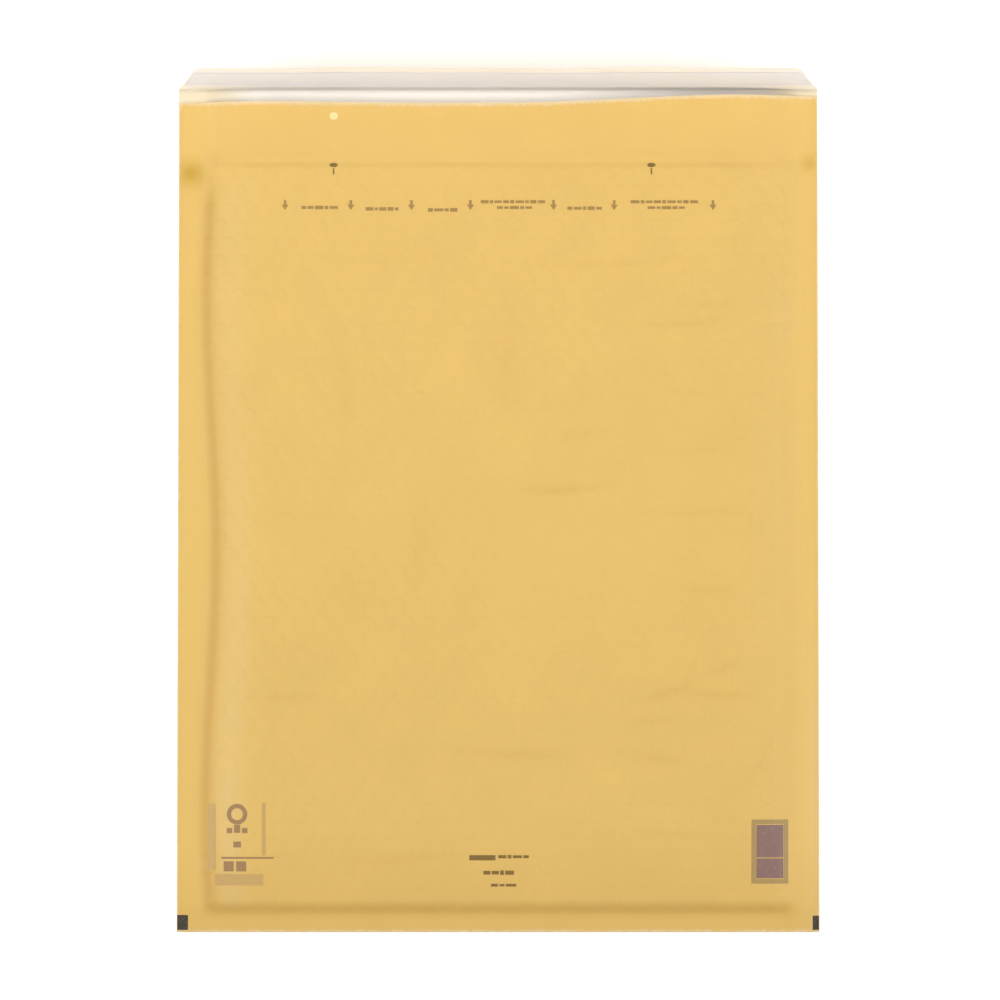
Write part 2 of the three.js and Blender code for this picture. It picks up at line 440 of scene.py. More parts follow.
    def back_inside(self, x: Array, v: Array) -> Array:
        """The back panel's inner face: on the lining up to its edge, then a free lip.

        The two stretches are joined by a smooth step, and the groove is a squared sine across
        the step's first part.

        Args:
            x: place across the body.
            v: place along the panel.

        Returns:
            Its height above the table.
        """
        handled = self.handled(x, v)
        on_lining = self.lining_high(x, v) + self.clearance
        opening = self.lip_gap - self.lip_fall * rise(v, self.lining_edge, self.back_lining_drop)
        seam = self.pocket_low(x, v) + self.weld_gap + self.welded_film + self.clearance
        lip = seam + opening * self.spring(x, v) ** 0.7 + handled
        past = v - self.lining_edge + self.groove_lead
        across = np.clip(past / self.groove_spread, 0.0, 1.0)
        groove = self.groove_depth * self.spring(x, v) * np.sin(math.pi * across) ** 2
        step = rise(v, self.lining_edge, 2 * self.groove_width)
        return on_lining + (lip - on_lining) * step - groove

    def column_x(self, s: Array, v: Array) -> Array:
        """The x of a column that starts at s from the left edge and follows the left seam.

        Args:
            s: distance from the body's left edge.
            v: place along the panel.

        Returns:
            The column's place across the body.
        """
        near = rise(s, 0.0, self.left_seam)
        far = rise(s, self.left_seam + self.left_rise, 2 * self.pocket_side_rise)
        return s - self.half_width + self.wander(v) * near * (1 - far)

    def flap_inset(self, t: Array) -> Array:
        """How far each side of the flap has drawn in: a taper, and a quarter circle at the tip.

        Args:
            t: distance up the flap from its crease.

        Returns:
            The inset of either side.
        """
        corner = np.clip(t - (self.flap_length - self.flap_corner), 0.0, self.flap_corner)
        rounded = self.flap_corner - np.sqrt(self.flap_corner**2 - corner**2)
        return self.flap_taper * t / self.flap_length + rounded

    def flap_point(self, x: Array, t: Array, off: float | Array) -> Array:
        """Points on the flap, which is an arc whose slope changes evenly from crease to tip.

        Args:
            x: place across the body, before the flap draws in.
            t: distance up the flap from its crease.
            off: distance in from the flap's outer face.

        Returns:
            x, v and height of each point, along a last axis.
        """
        base = math.radians(self.flap_base_angle)
        bend = math.radians(self.flap_tip_angle - self.flap_base_angle) / self.flap_length
        share = t / self.flap_length
        wave = np.sin(x / 31 + 0.9) + 0.5 * np.sin(x / 13.7 - 1.1)
        off = off + self.flap_wave * wave * share**1.3
        angle = base + bend * t
        outer = self.crease_radius + self.paper
        v = self.crease_line + outer * math.sin(base) + (np.sin(angle) - math.sin(base)) / bend
        z = outer * (1 - math.cos(base)) + (math.cos(base) - np.cos(angle)) / bend
        lift = self.underside(x, np.full_like(x, self.crease_line)) * (1 - share)
        narrowed = x * (self.half_width - self.flap_inset(t)) / self.half_width
        place = (narrowed, v - off * np.sin(angle), z + lift + off * np.cos(angle))
        return np.stack(np.broadcast_arrays(*place), axis=-1)


# Meshes


@dataclass
class Solid:
    """A closed surface: its points in metres, its triangles, and which side each is on."""

    points: Array
    faces: Array
    side: Array

    @staticmethod
    def join(solids: list[Solid]) -> Solid:
        """One Solid of several, which stay apart.

        Args:
            solids: what to join.

        Returns:
            All their points and triangles.
        """
        starts = np.cumsum([0] + [len(solid.points) for solid in solids[:-1]])
        return Solid(
            np.concatenate([solid.points for solid in solids]),
            np.concatenate([solid.faces + at for solid, at in zip(solids, starts)]),
            np.concatenate([solid.side for solid in solids]),
        )


class Side(Enum):
    """Which side of a thin sheet a face is on. The numbers are also the material slots."""

    OUTER = 0
    INNER = 1
    EDGE = 2


def shell(outer: Array, inner: Array, ring: bool = False) -> Solid:
    """A closed solid between two grids of points that have the same rows and columns.

    Looked at from outside the outer grid, its rows run up the page and its columns to the
    right. Each cell is two triangles, split from its first corner to its last.

    Args:
        outer: rows by columns by 3.
        inner: the same on the other side of the sheet.
        ring: whether the last column joins up with the first.

    Returns:
        The solid, with every face's side.
    """
    rows, columns = outer.shape[:2]
    number = np.arange(rows * columns).reshape(rows, columns)
    if ring:
        number = np.concatenate([number, number[:, :1]], axis=1)
    back = number + rows * columns

    def cells(a: Array, b: Array, c: Array, d: Array) -> Array:
        """Two triangles for each cell, given its four corners in order."""
        corners = [np.stack([a, b, c], -1), np.stack([a, c, d], -1)]
        return np.concatenate([each.reshape(-1, 3) for each in corners])

    top = cells(number[:-1, :-1], number[:-1, 1:], number[1:, 1:], number[1:, :-1])
    low = cells(back[:-1, :-1], back[1:, :-1], back[1:, 1:], back[:-1, 1:])
    first, last = number[0], number[-1]
    edges = [
        cells(first[:-1], back[0][:-1], back[0][1:], first[1:]),
        cells(last[:-1], last[1:], back[-1][1:], back[-1][:-1]),
    ]
    if not ring:
        left, right = number[:, 0], number[:, -1]
        edges.append(cells(left[:-1], left[1:], back[1:, 0], back[:-1, 0]))
        edges.append(cells(right[:-1], back[:-1, -1], back[1:, -1], right[1:]))
    edge = np.concatenate(edges)
    points = np.concatenate([outer.reshape(-1, 3), inner.reshape(-1, 3)])
    side = np.concatenate(
        [
            np.full(len(top), Side.OUTER.value),
            np.full(len(low), Side.INNER.value),
            np.full(len(edge), Side.EDGE.value),
        ]
    )
    return Solid(points, np.concatenate([top, low, edge]), side)


@dataclass(frozen=True)
class Placing:
    """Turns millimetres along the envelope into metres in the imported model's frame."""

    start: float

    @classmethod
    def from_frame(cls, form: EnvelopeForm) -> Placing:
        """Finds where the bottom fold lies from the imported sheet's lowest y."""
        low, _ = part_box("kraft_sheet")
        return cls(start=low.y / MM + form.fold_radius)

    def metres(self, points: Array) -> Array:
        """x, v and height in millimetres as x, y and z in metres."""
        return (points + np.array([0.0, self.start, 0.0])) * MM


def add_piece(
    name: str,
    solid: Solid,
    materials: list[bpy.types.Material],
    masks: dict[str, Array] | None = None,
    by_side: bool = False,
    sharp: float = 45.0,
) -> bpy.types.Object:
    """Makes a mesh object at the origin, with smooth shading up to an angle.

    Args:
        name: the piece's name.
        solid: its points and triangles.
        materials: its material slots.
        masks: values for each point, kept as attributes of these names.
        by_side: whether each face takes the material slot of its side.
        sharp: edges that turn by more degrees than this stay sharp.

    Returns:
        The object, linked to the scene and riding on the envelope's body.
    """
    mesh = bpy.data.meshes.new(name)
    faces = solid.faces.astype(np.int32)
    mesh.vertices.add(len(solid.points))
    mesh.vertices.foreach_set("co", solid.points.astype(np.float32).ravel())
    mesh.loops.add(faces.size)
    mesh.loops.foreach_set("vertex_index", faces.ravel())
    mesh.polygons.add(len(faces))
    mesh.polygons.foreach_set("loop_start", np.arange(0, faces.size, 3, dtype=np.int32))
    for material in materials:
        mesh.materials.append(material)
    if by_side:
        mesh.polygons.foreach_set("material_index", solid.side.astype(np.int32))
    mesh.polygons.foreach_set("use_smooth", np.ones(len(faces), bool))
    mesh.update(calc_edges=True)
    mesh.set_sharp_from_angle(angle=math.radians(sharp))
    for key, values in (masks or {}).items():
        attribute = mesh.attributes.new(key, "FLOAT", "POINT")
        attribute.data.foreach_set("value", values.astype(np.float32).ravel())
    made = bpy.data.objects.new(name, mesh)
    bpy.context.scene.collection.objects.link(made)
    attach(made, BODY)
    LOG.info("%s: %d triangles", name, len(faces))
    return made


# Shader effects


Socket = bpy.types.NodeSocket


class Graph:
    """Adds nodes to one tree and links them."""

    def __init__(self, tree: bpy.types.NodeTree) -> None:
        """Keeps the tree that the nodes go into."""
        self.tree = tree

    def node(self, kind: str, inputs: dict | None = None, **settings: object) -> bpy.types.Node:
        """Adds a node.

        Args:
            kind: its type's name.
            inputs: a value or a socket for each of its inputs, by name or number.
            settings: its properties.

        Returns:
            The node.
        """
        made = self.tree.nodes.new(kind)
        for key, value in settings.items():
            setattr(made, key, value)
        for key, value in (inputs or {}).items():
            if isinstance(value, Socket):
                self.tree.links.new(value, made.inputs[key])
            else:
                made.inputs[key].default_value = value
        return made

    def math(self, operation: str, *values: float | Socket, clamp: bool = False) -> Socket:
        """The result of a Math node on the values given.

        Args:
            operation: the node's operation.
            values: its inputs in order.
            clamp: whether the result stays from 0 to 1.

        Returns:
            The result.
        """
        inputs = dict(enumerate(values))
        made = self.node("ShaderNodeMath", inputs, operation=operation, use_clamp=clamp)
        return made.outputs[0]

    def vector(self, operation: str, *values: tuple | Socket) -> bpy.types.Node:
        """A Vector Math node on the values given."""
        return self.node("ShaderNodeVectorMath", dict(enumerate(values)), operation=operation)

    def blend(self, share: float | Socket, a: tuple | Socket, b: tuple | Socket) -> Socket:
        """The colour a, mixed with b by a share.

        Args:
            share: how much of b shows.
            a: the first colour.
            b: the second colour.

        Returns:
            The mixed colour.
        """
        made = self.node(
            "ShaderNodeMix", {0: share, 6: a, 7: b}, data_type="RGBA", clamp_factor=True
        )
        return made.outputs[2]

    def tint(self, colour: tuple | Socket, factor: Socket) -> Socket:
        """A colour with its three channels times one factor.

        Args:
            colour: the colour.
            factor: the factor.

        Returns:
            The tinted colour.
        """
        grey = self.node("ShaderNodeCombineColor", {0: factor, 1: factor, 2: factor})
        made = self.node(
            "ShaderNodeMix",
            {0: 1.0, 6: colour, 7: grey.outputs[0]},
            data_type="RGBA",
            blend_type="MULTIPLY",
        )
        return made.outputs[2]

    def span(self, value: Socket, low: float, high: float, a: float, b: float) -> Socket:
        """A value that runs smoothly from a to b while the input runs from low to high.

        Args:
            value: the input.
            low: the input at which the result is a.
            high: the input at which the result is b.
            a: the first result.
            b: the second result.

        Returns:
            The value.
        """
        made = self.node(
            "ShaderNodeMapRange",
            {0: value, 1: low, 2: high, 3: a, 4: b},
            interpolation_type="SMOOTHSTEP",
        )
        return made.outputs[0]

    def noise(self, place: Socket, scale: float | Socket, detail: float, rough: float) -> Socket:
        """Fractal noise from 0 to 1, at about 0.5 on average."""
        inputs = {"Vector": place, "Scale": scale, "Detail": detail, "Roughness": rough}
        return self.node("ShaderNodeTexNoise", inputs).outputs[0]

    def stretch(self, place: Socket, factors: tuple[float, float, float]) -> Socket:
        """Coordinates times a factor along each axis."""
        return self.vector("MULTIPLY", place, factors).outputs[0]


class Kind(Enum):
    """The types of socket that an effect's group may have."""

    VALUE = "NodeSocketFloat"
    VECTOR = "NodeSocketVector"
    COLOUR = "NodeSocketColor"


@dataclass
class Effect:
    """A shader node group with named inputs and outputs, built once and placed where needed."""

    name: str
    inputs: dict[str, tuple[Kind, object]]
    outputs: dict[str, Kind]
    build: Callable[[Graph, dict[str, Socket]], dict[str, Socket]]
    tree: bpy.types.NodeTree | None = field(default=None, init=False)

    def group(self) -> bpy.types.NodeTree:
        """The group's tree, built the first time that it is asked for.

        Returns:
            The tree.
        """
        if self.tree is not None:
            return self.tree
        tree = bpy.data.node_groups.new(self.name, "ShaderNodeTree")
        for name, (kind, value) in self.inputs.items():
            socket = tree.interface.new_socket(name, in_out="INPUT", socket_type=kind.value)
            if value is not None:
                socket.default_value = value
        for name, kind in self.outputs.items():
            tree.interface.new_socket(name, in_out="OUTPUT", socket_type=kind.value)
        graph = Graph(tree)
        start = graph.node("NodeGroupInput")
        given = {name: start.outputs[name] for name in self.inputs}
        results = self.build(graph, given)
        graph.node("NodeGroupOutput", dict(results))
        self.tree = tree
        return tree

    def use(self, graph: Graph, **values: object) -> bpy.types.Node:
        """Places the group in a material, with its inputs' names written with underscores.

        Args:
            graph: the material's nodes.
            values: a value or a socket for each input.

        Returns:
            The group's node.
        """
        made = graph.node("ShaderNodeGroup", node_tree=self.group())
        for key, value in values.items():
            name = key.replace("_", " ")
            if isinstance(value, Socket):
                graph.tree.links.new(value, made.inputs[name])
            else:
                made.inputs[name].default_value = value
        return made


def build_paper_fibre(graph: Graph, given: dict[str, Socket]) -> dict[str, Socket]:
    """Long fibres over cloudy patches: noise on stretched coordinates plus coarse noise.

    Args:
        graph: the nodes of the group.
        given: the group's inputs by name.

    Returns:
        A factor for the colour, a height and the clouds.
    """
    place = given["Place"]
    fine = graph.noise(graph.stretch(place, (1.0, 0.3, 1.0)), given["Fibre Scale"], 3.0, 0.62)
    cross = graph.noise(graph.stretch(place, (0.35, 1.0, 1.0)), given["Fibre Scale"], 2.0, 0.6)
    cloud = graph.noise(place, given["Cloud Scale"], 2.0, 0.55)
    felt = graph.math("MULTIPLY_ADD", cross, 0.4, graph.math("MULTIPLY", fine, 0.6))
    tone = graph.math("MULTIPLY_ADD", cloud, 0.6, graph.math("MULTIPLY", felt, 0.4))
    centred = graph.math("SUBTRACT", tone, 0.5)
    factor = graph.math("MULTIPLY_ADD", centred, given["Contrast"], 1.0)
    return {"Tone": factor, "Height": felt, "Cloud": cloud}


def build_fine_creases(graph: Graph, given: dict[str, Socket]) -> dict[str, Socket]:
    """Small folds from handling: the borders of long cells, with wavering lines.

    Args:
        graph: the nodes of the group.
        given: the group's inputs by name.

    Returns:
        The height, which is 0 or less.
    """
    place = given["Place"]
    scaled = graph.vector("SCALE", place)
    graph.tree.links.new(given["Scale"], scaled.inputs["Scale"])
    waver = graph.node("ShaderNodeTexNoise", {"Vector": scaled.outputs[0], "Scale": 0.9})
    moved = graph.vector("MULTIPLY_ADD", waver.outputs["Color"], (0.9, 0.9, 0.9))
    graph.tree.links.new(scaled.outputs[0], moved.inputs[2])
    cells = graph.node(
        "ShaderNodeTexVoronoi",
        {"Vector": graph.stretch(moved.outputs[0], (0.34, 1.0, 1.0)), "Scale": 1.0},
        feature="DISTANCE_TO_EDGE",
    )
    line = graph.span(cells.outputs["Distance"], 0.0, 0.11, 1.0, 0.0)
    patchy = graph.span(graph.noise(scaled.outputs[0], 0.37, 2.0, 0.5), 0.42, 0.62, 0.0, 1.0)
    return {"Height": graph.math("MULTIPLY", graph.math("MULTIPLY", line, patchy), -1.0)}


def build_bubble_print(graph: Graph, given: dict[str, Socket]) -> dict[str, Socket]:
    """Bubbles that show through the paper: rows of round humps, every other row shifted.

    The rows are two upright lattices with a pitch of p by p times the root of 3, the second
    shifted by half of each. The height falls with the distance to the nearest centre.

    Args:
        graph: the nodes of the group.
        given: the group's inputs by name.

    Returns:
        The height, from 0 to 1.
    """
    flat = graph.stretch(given["Place"], (1.0, 1.0, 0.0))
    scaled = graph.vector("SCALE", flat)
    graph.tree.links.new(given["Bubbles per Metre"], scaled.inputs["Scale"])
    tall = math.sqrt(3) / 2
    reaches = []
    for shift in ((0.0, 0.0, 0.0), (0.5, tall, 0.0)):
        moved = graph.vector("ADD", scaled.outputs[0], shift).outputs[0]
        wrapped = graph.vector("WRAP", moved, (0.5, tall, 0.5), (-0.5, -tall, -0.5)).outputs[0]
        reaches.append(graph.vector("LENGTH", wrapped).outputs["Value"])
    nearest = graph.math("MINIMUM", *reaches)
    return {"Height": graph.span(nearest, 0.28, 0.46, 1.0, 0.0)}


def build_worn_edge(graph: Graph, given: dict[str, Socket]) -> dict[str, Socket]:
    """Print rubbed off where a mask is high, in a ragged patch: mask plus noise, cut by a ramp.

    Args:
        graph: the nodes of the group.
        given: the group's inputs by name.

    Returns:
        The worn colour and the share that is worn.
    """
    ragged = graph.noise(given["Place"], given["Scale"], 3.0, 0.65)
    pushed = graph.math("MULTIPLY_ADD", given["Mask"], 0.75, graph.math("MULTIPLY", ragged, 0.6))
    share = graph.math("MULTIPLY", graph.span(pushed, 0.72, 1.05, 0.0, 1.0), given["Amount"])
    return {"Color": graph.blend(share, given["Color"], given["Bare Color"]), "Share": share}


class Effects:
    """The shader effects, which each finish places with its own values."""

    paper_fibre = Effect(
        "paper_fibre",
        {
            "Place": (Kind.VECTOR, None),
            "Fibre Scale": (Kind.VALUE, 900.0),
            "Cloud Scale": (Kind.VALUE, 60.0),
            "Contrast": (Kind.VALUE, 0.15),
        },
        {"Tone": Kind.VALUE, "Height": Kind.VALUE, "Cloud": Kind.VALUE},
        build_paper_fibre,
    )
    fine_creases = Effect(
        "fine_creases",
        {"Place": (Kind.VECTOR, None), "Scale": (Kind.VALUE, 30.0)},
        {"Height": Kind.VALUE},
        build_fine_creases,
    )
    bubble_print = Effect(
        "bubble_print",
        {"Place": (Kind.VECTOR, None), "Bubbles per Metre": (Kind.VALUE, 87.0)},
        {"Height": Kind.VALUE},
        build_bubble_print,
    )
    worn_edge = Effect(
        "worn_edge",
        {
            "Color": (Kind.COLOUR, None),
            "Bare Color": (Kind.COLOUR, None),
            "Mask": (Kind.VALUE, 0.0),
            "Amount": (Kind.VALUE, 1.0),
            "Place": (Kind.VECTOR, None),
            "Scale": (Kind.VALUE, 400.0),
        },
        {"Color": Kind.COLOUR, "Share": Kind.VALUE},
        build_worn_edge,
    )


# Finishes


Colour = tuple[float, float, float, float]


def paint(red: float, green: float, blue: float) -> Colour:
    """A colour as a shader takes it, from shares of light sent back."""
    return (red, green, blue, 1.0)


class Bench:
    """A new material with its shader, its output and the piece's own coordinates."""

    def __init__(self, name: str, **sockets: object) -> None:
        """Makes the material.

        Args:
            name: the material's name.
            sockets: plain values for the shader's own inputs, with underscores in their names.
        """
        self.material = bpy.data.materials.new(name)
        self.material.use_nodes = True
        tree = self.material.node_tree
        tree.nodes.clear()
        self.graph = Graph(tree)
        self.shader = self.graph.node("ShaderNodeBsdfPrincipled")
        for key, value in sockets.items():
            self.shader.inputs[key.replace("_", " ")].default_value = value
        output = self.graph.node("ShaderNodeOutputMaterial")
        tree.links.new(self.shader.outputs[0], output.inputs["Surface"])
        self.place = self.graph.node("ShaderNodeTexCoord").outputs["Object"]

    def mask(self, name: str) -> Socket:
        """The value of one of the piece's own attributes."""
        made = self.graph.node("ShaderNodeAttribute", attribute_name=name)
        return made.outputs["Fac"]

    def feed(self, name: str, socket: Socket) -> None:
        """Links a socket to one of the shader's inputs."""
        self.graph.tree.links.new(socket, self.shader.inputs[name])

    def bump(self, layers: list[tuple[Socket, float]]) -> None:
        """Feeds the shader's normal with the sum of heights, each given in metres.

        Args:
            layers: pairs of a height from -1 to 1 and the metres that 1 stands for.
        """
        total: Socket | float = 0.0
        for height, metres in layers:
            total = self.graph.math("MULTIPLY_ADD", height, metres, total)
        inputs = {"Height": total, "Strength": 1.0, "Distance": 1.0}
        self.feed("Normal", self.graph.node("ShaderNodeBump", inputs).outputs[0])


@dataclass(frozen=True)
class GoldKraft:
    """The outside of the sheet: kraft paper printed gold, with a low satin.

    Each layer is a mask of the sheet, the share that it covers where the mask is 1, and the
    colour that it blends in. The crease and foot layers are painted shade, the seam layer painted
    light, and the layer beside the left weld and on the right margin a painted sheen. Heights are
    in metres.
    """

    gold: Colour = paint(0.695, 0.455, 0.133)
    # painted shade: the darker gold that the creases and the padding's foot take
    painted_shade_gold: Colour = paint(0.500, 0.280, 0.055)
    # painted light: the lighter gold of the flat seam margins
    painted_seam_light: Colour = paint(0.735, 0.485, 0.140)
    # bare paper where the print is worn, also used for a painted sheen
    bare: Colour = paint(0.740, 0.600, 0.400)
    stain: Colour = paint(0.500, 0.285, 0.020)
    layers: tuple[tuple[str, float, str], ...] = (
        # painted shade in the creases
        ("crease", 0.30, "painted_shade_gold"),
        # painted light on the flat seam margins
        ("seam", 0.70, "painted_seam_light"),
        # painted sheen beside the left weld and on the right margin
        ("painted_sheen", 0.14, "bare"),
        # painted shade at the padding's foot
        ("foot", 0.42, "painted_shade_gold"),
        ("stain", 0.70, "stain"),
    )
    worn: float = 0.75
    fibre_scale: float = 820.0
    cloud_scale: float = 34.0
    contrast: float = 0.13
    wear_scale: float = 420.0
    crease_scale: float = 42.0
    bubbles_per_metre: float = 87.0
    roughness: float = 0.56
    uneven: float = 0.05
    worn_roughness: float = 0.25
    fibre_height: float = 0.000035
    crease_height: float = 0.00006
    quilt_height: float = 0.00020
    crimp_height: float = 0.00002

    def build(self) -> bpy.types.Material:
        """The material: wear, stains, creases, and painted shade, light and sheen, from the piece's
        attributes.

        Returns:
            The material.
        """
        bench = Bench("gold_kraft", IOR=1.45, Specular_IOR_Level=0.25)
        graph = bench.graph
        fibre = Effects.paper_fibre.use(
            graph,
            Place=bench.place,
            Fibre_Scale=self.fibre_scale,
            Cloud_Scale=self.cloud_scale,
            Contrast=self.contrast,
        )
        colour = graph.tint(self.gold, fibre.outputs["Tone"])
        # layers of painted shade in the creases and at the foot, painted light on the seams, painted
        # sheen, and stains
        for mask, share, tone in self.layers:
            cover = graph.math("MULTIPLY", bench.mask(mask), share)
            colour = graph.blend(cover, colour, getattr(self, tone))
        worn = Effects.worn_edge.use(
            graph,
            Color=colour,
            Bare_Color=self.bare,
            Mask=bench.mask("wear"),
            Amount=self.worn,
            Place=bench.place,
            Scale=self.wear_scale,
        )
        bench.feed("Base Color", worn.outputs["Color"])
        rough = graph.span(fibre.outputs["Cloud"], 0.3, 0.7, -self.uneven, self.uneven)
        rough = graph.math("ADD", rough, self.roughness)
        rough = graph.math("MULTIPLY_ADD", worn.outputs["Share"], self.worn_roughness, rough)
        bench.feed("Roughness", rough)
        creases = Effects.fine_creases.use(graph, Place=bench.place, Scale=self.crease_scale)
        bubbles = Effects.bubble_print.use(
            graph, Place=bench.place, Bubbles_per_Metre=self.bubbles_per_metre
        )
        quilt = graph.math("MULTIPLY", bubbles.outputs["Height"], bench.mask("lined"))
        crimp = graph.math("SINE", graph.math("MULTIPLY", bench.mask("seam_step"), TURN))
        crimp = graph.math("MULTIPLY", crimp, bench.mask("seam"))
        bench.bump(
            [
                (fibre.outputs["Height"], self.fibre_height),
                (creases.outputs["Height"], self.crease_height),
                (quilt, self.quilt_height),
                (crimp, self.crimp_height),
            ]
        )
        return bench.material


@dataclass(frozen=True)
class PlainPaper:
    """Unprinted paper: the inside of the sheet, its cut edges and the release strip."""

    name: str
    colour: Colour
    roughness: float
    contrast: float = 0.10
    fibre_scale: float = 900.0
    cloud_scale: float = 48.0
    uneven: float = 0.04
    coat: float = 0.0
    grain: float = 0.00003
    # painted shade, blended in by the hollow mask
    shade: Colour | None = None

    def build(self) -> bpy.types.Material:
        """The material, with fibres, and where asked a coat or a painted shade by the hollow mask.

        Returns:
            The material.
        """
        bench = Bench(
            self.name, IOR=1.45, Specular_IOR_Level=0.4, Coat_Weight=self.coat, Coat_Roughness=0.22
        )
        graph = bench.graph
        fibre = Effects.paper_fibre.use(
            graph,
            Place=bench.place,
            Fibre_Scale=self.fibre_scale,
            Cloud_Scale=self.cloud_scale,
            Contrast=self.contrast,
        )
        colour = graph.tint(self.colour, fibre.outputs["Tone"])
        # painted shade at the ends of the crease's inside
        if self.shade is not None:
            colour = graph.blend(bench.mask("hollow"), colour, self.shade)
        bench.feed("Base Color", colour)
        rough = graph.span(fibre.outputs["Cloud"], 0.3, 0.7, -self.uneven, self.uneven)
        bench.feed("Roughness", graph.math("ADD", rough, self.roughness))
        bench.bump([(fibre.outputs["Height"], self.grain)])
        return bench.material


@dataclass(frozen=True)
class SealGlue:
    """The tacky self-seal glue: a pale, shiny film with drag lines along the flap."""

    colour: Colour = paint(0.86, 0.80, 0.62)
    drag: tuple[float, float, float] = (6.0, 900.0, 900.0)
    patch_scale: float = 120.0
    line_height: float = 0.00006
    patch_height: float = 0.00008

    def build(self) -> bpy.types.Material:
        """The material, with lines from the coating head.

        Returns:
            The material.
        """
        bench = Bench("seal_glue", IOR=1.5, Coat_Weight=0.6, Coat_Roughness=0.12)
        graph = bench.graph
        lines = graph.noise(graph.stretch(bench.place, self.drag), 1.0, 3.0, 0.6)
        patch = graph.noise(bench.place, self.patch_scale, 2.0, 0.5)
        tone = graph.span(lines, 0.3, 0.7, 0.95, 1.04)
        bench.feed("Base Color", graph.tint(self.colour, tone))
        bench.feed("Roughness", graph.span(patch, 0.3, 0.7, 0.22, 0.42))
        bench.bump([(lines, self.line_height), (patch, self.patch_height)])
        return bench.material


@dataclass(frozen=True)
class BubbleFilm:
    """Clear polyethylene film, slightly milky."""

    colour: Colour = paint(0.86, 0.89, 0.90)
    alpha: float = 0.5
    haze_scale: float = 90.0
    wrinkle_scale: float = 700.0
    wrinkle_height: float = 0.00005

    def build(self) -> bpy.types.Material:
        """The material, with the fine wrinkles of thin film.

        Returns:
            The material.
        """
        bench = Bench("bubble_film", IOR=1.5, Alpha=self.alpha, Specular_IOR_Level=0.7)
        graph = bench.graph
        haze = graph.noise(bench.place, self.haze_scale, 3.0, 0.5)
        drawn = graph.stretch(bench.place, (1.0, 0.5, 1.0))
        wrinkle = graph.noise(drawn, self.wrinkle_scale, 4.0, 0.6)
        bench.feed("Base Color", graph.tint(self.colour, graph.span(haze, 0.3, 0.7, 0.94, 1.03)))
        bench.feed("Roughness", graph.span(haze, 0.3, 0.7, 0.12, 0.24))
        bench.bump([(wrinkle, self.wrinkle_height)])
        return bench.material


class Ink(Enum):
    """The inks on the back panel: red, green and blue, and the share that the ink covers."""

    BROWN = (0.27, 0.155, 0.045, 0.85)
    DARK = (0.15, 0.088, 0.022, 0.90)
    UMBER = (0.28, 0.160, 0.080, 0.88)
    OLIVE = (0.34, 0.230, 0.090, 0.88)
    FAINT = (0.38, 0.240, 0.100, 0.52)
    VIOLET = (0.225, 0.133, 0.125, 0.97)
    BLACK = (0.035, 0.032, 0.032, 0.98)
    BARE = (0.88, 0.69, 0.33, 0.95)


@dataclass(frozen=True)
class PrintInk:
    """Ink on the gold print, broken up a little by the paper's fibres."""

    ink: Ink
    ground: Colour = paint(0.70, 0.46, 0.147)
    fibre_scale: float = 1500.0
    cloud_scale: float = 160.0
    contrast: float = 0.2
    grain: float = 0.00003

    def build(self) -> bpy.types.Material:
        """The material: ink colour, with the gold ground showing through in small gaps.

        Returns:
            The material.
        """
        *tone, cover = self.ink.value
        bench = Bench(f"ink_{self.ink.name.lower()}", IOR=1.45, Specular_IOR_Level=0.3)
        graph = bench.graph
        fibre = Effects.paper_fibre.use(
            graph,
            Place=bench.place,
            Fibre_Scale=self.fibre_scale,
            Cloud_Scale=self.cloud_scale,
            Contrast=self.contrast,
        )
        gaps = graph.span(fibre.outputs["Height"], 0.34, 0.50, 0.82, 1.0)
        share = graph.math("MULTIPLY", gaps, cover)
        ink = graph.tint(paint(*tone), fibre.outputs["Tone"])
        bench.feed("Base Color", graph.blend(share, self.ground, ink))
        bench.feed("Roughness", graph.span(fibre.outputs["Height"], 0.3, 0.7, 0.5, 0.62))
        bench.bump([(fibre.outputs["Height"], self.grain)])
        return bench.material


@dataclass(frozen=True)
class TableTop:
    """The pale surface that the envelope lies on."""

    colour: Colour = paint(0.90, 0.90, 0.90)
    glow: float = 0.28

    def build(self) -> bpy.types.Material:
        """The material: barely uneven, and lit a little from below as a light table is.

        Returns:
            The material.
        """
        bench = Bench("table_top", Specular_IOR_Level=0.1, Emission_Strength=self.glow)
        haze = bench.graph.noise(bench.place, 3.0, 2.0, 0.5)
        bench.feed(
            "Base Color",
            bench.graph.tint(self.colour, bench.graph.span(haze, 0.3, 0.7, 0.995, 1.005)),
        )
        bench.feed("Roughness", bench.graph.span(haze, 0.3, 0.7, 0.85, 0.9))
        return bench.material


# Sub-assemblies


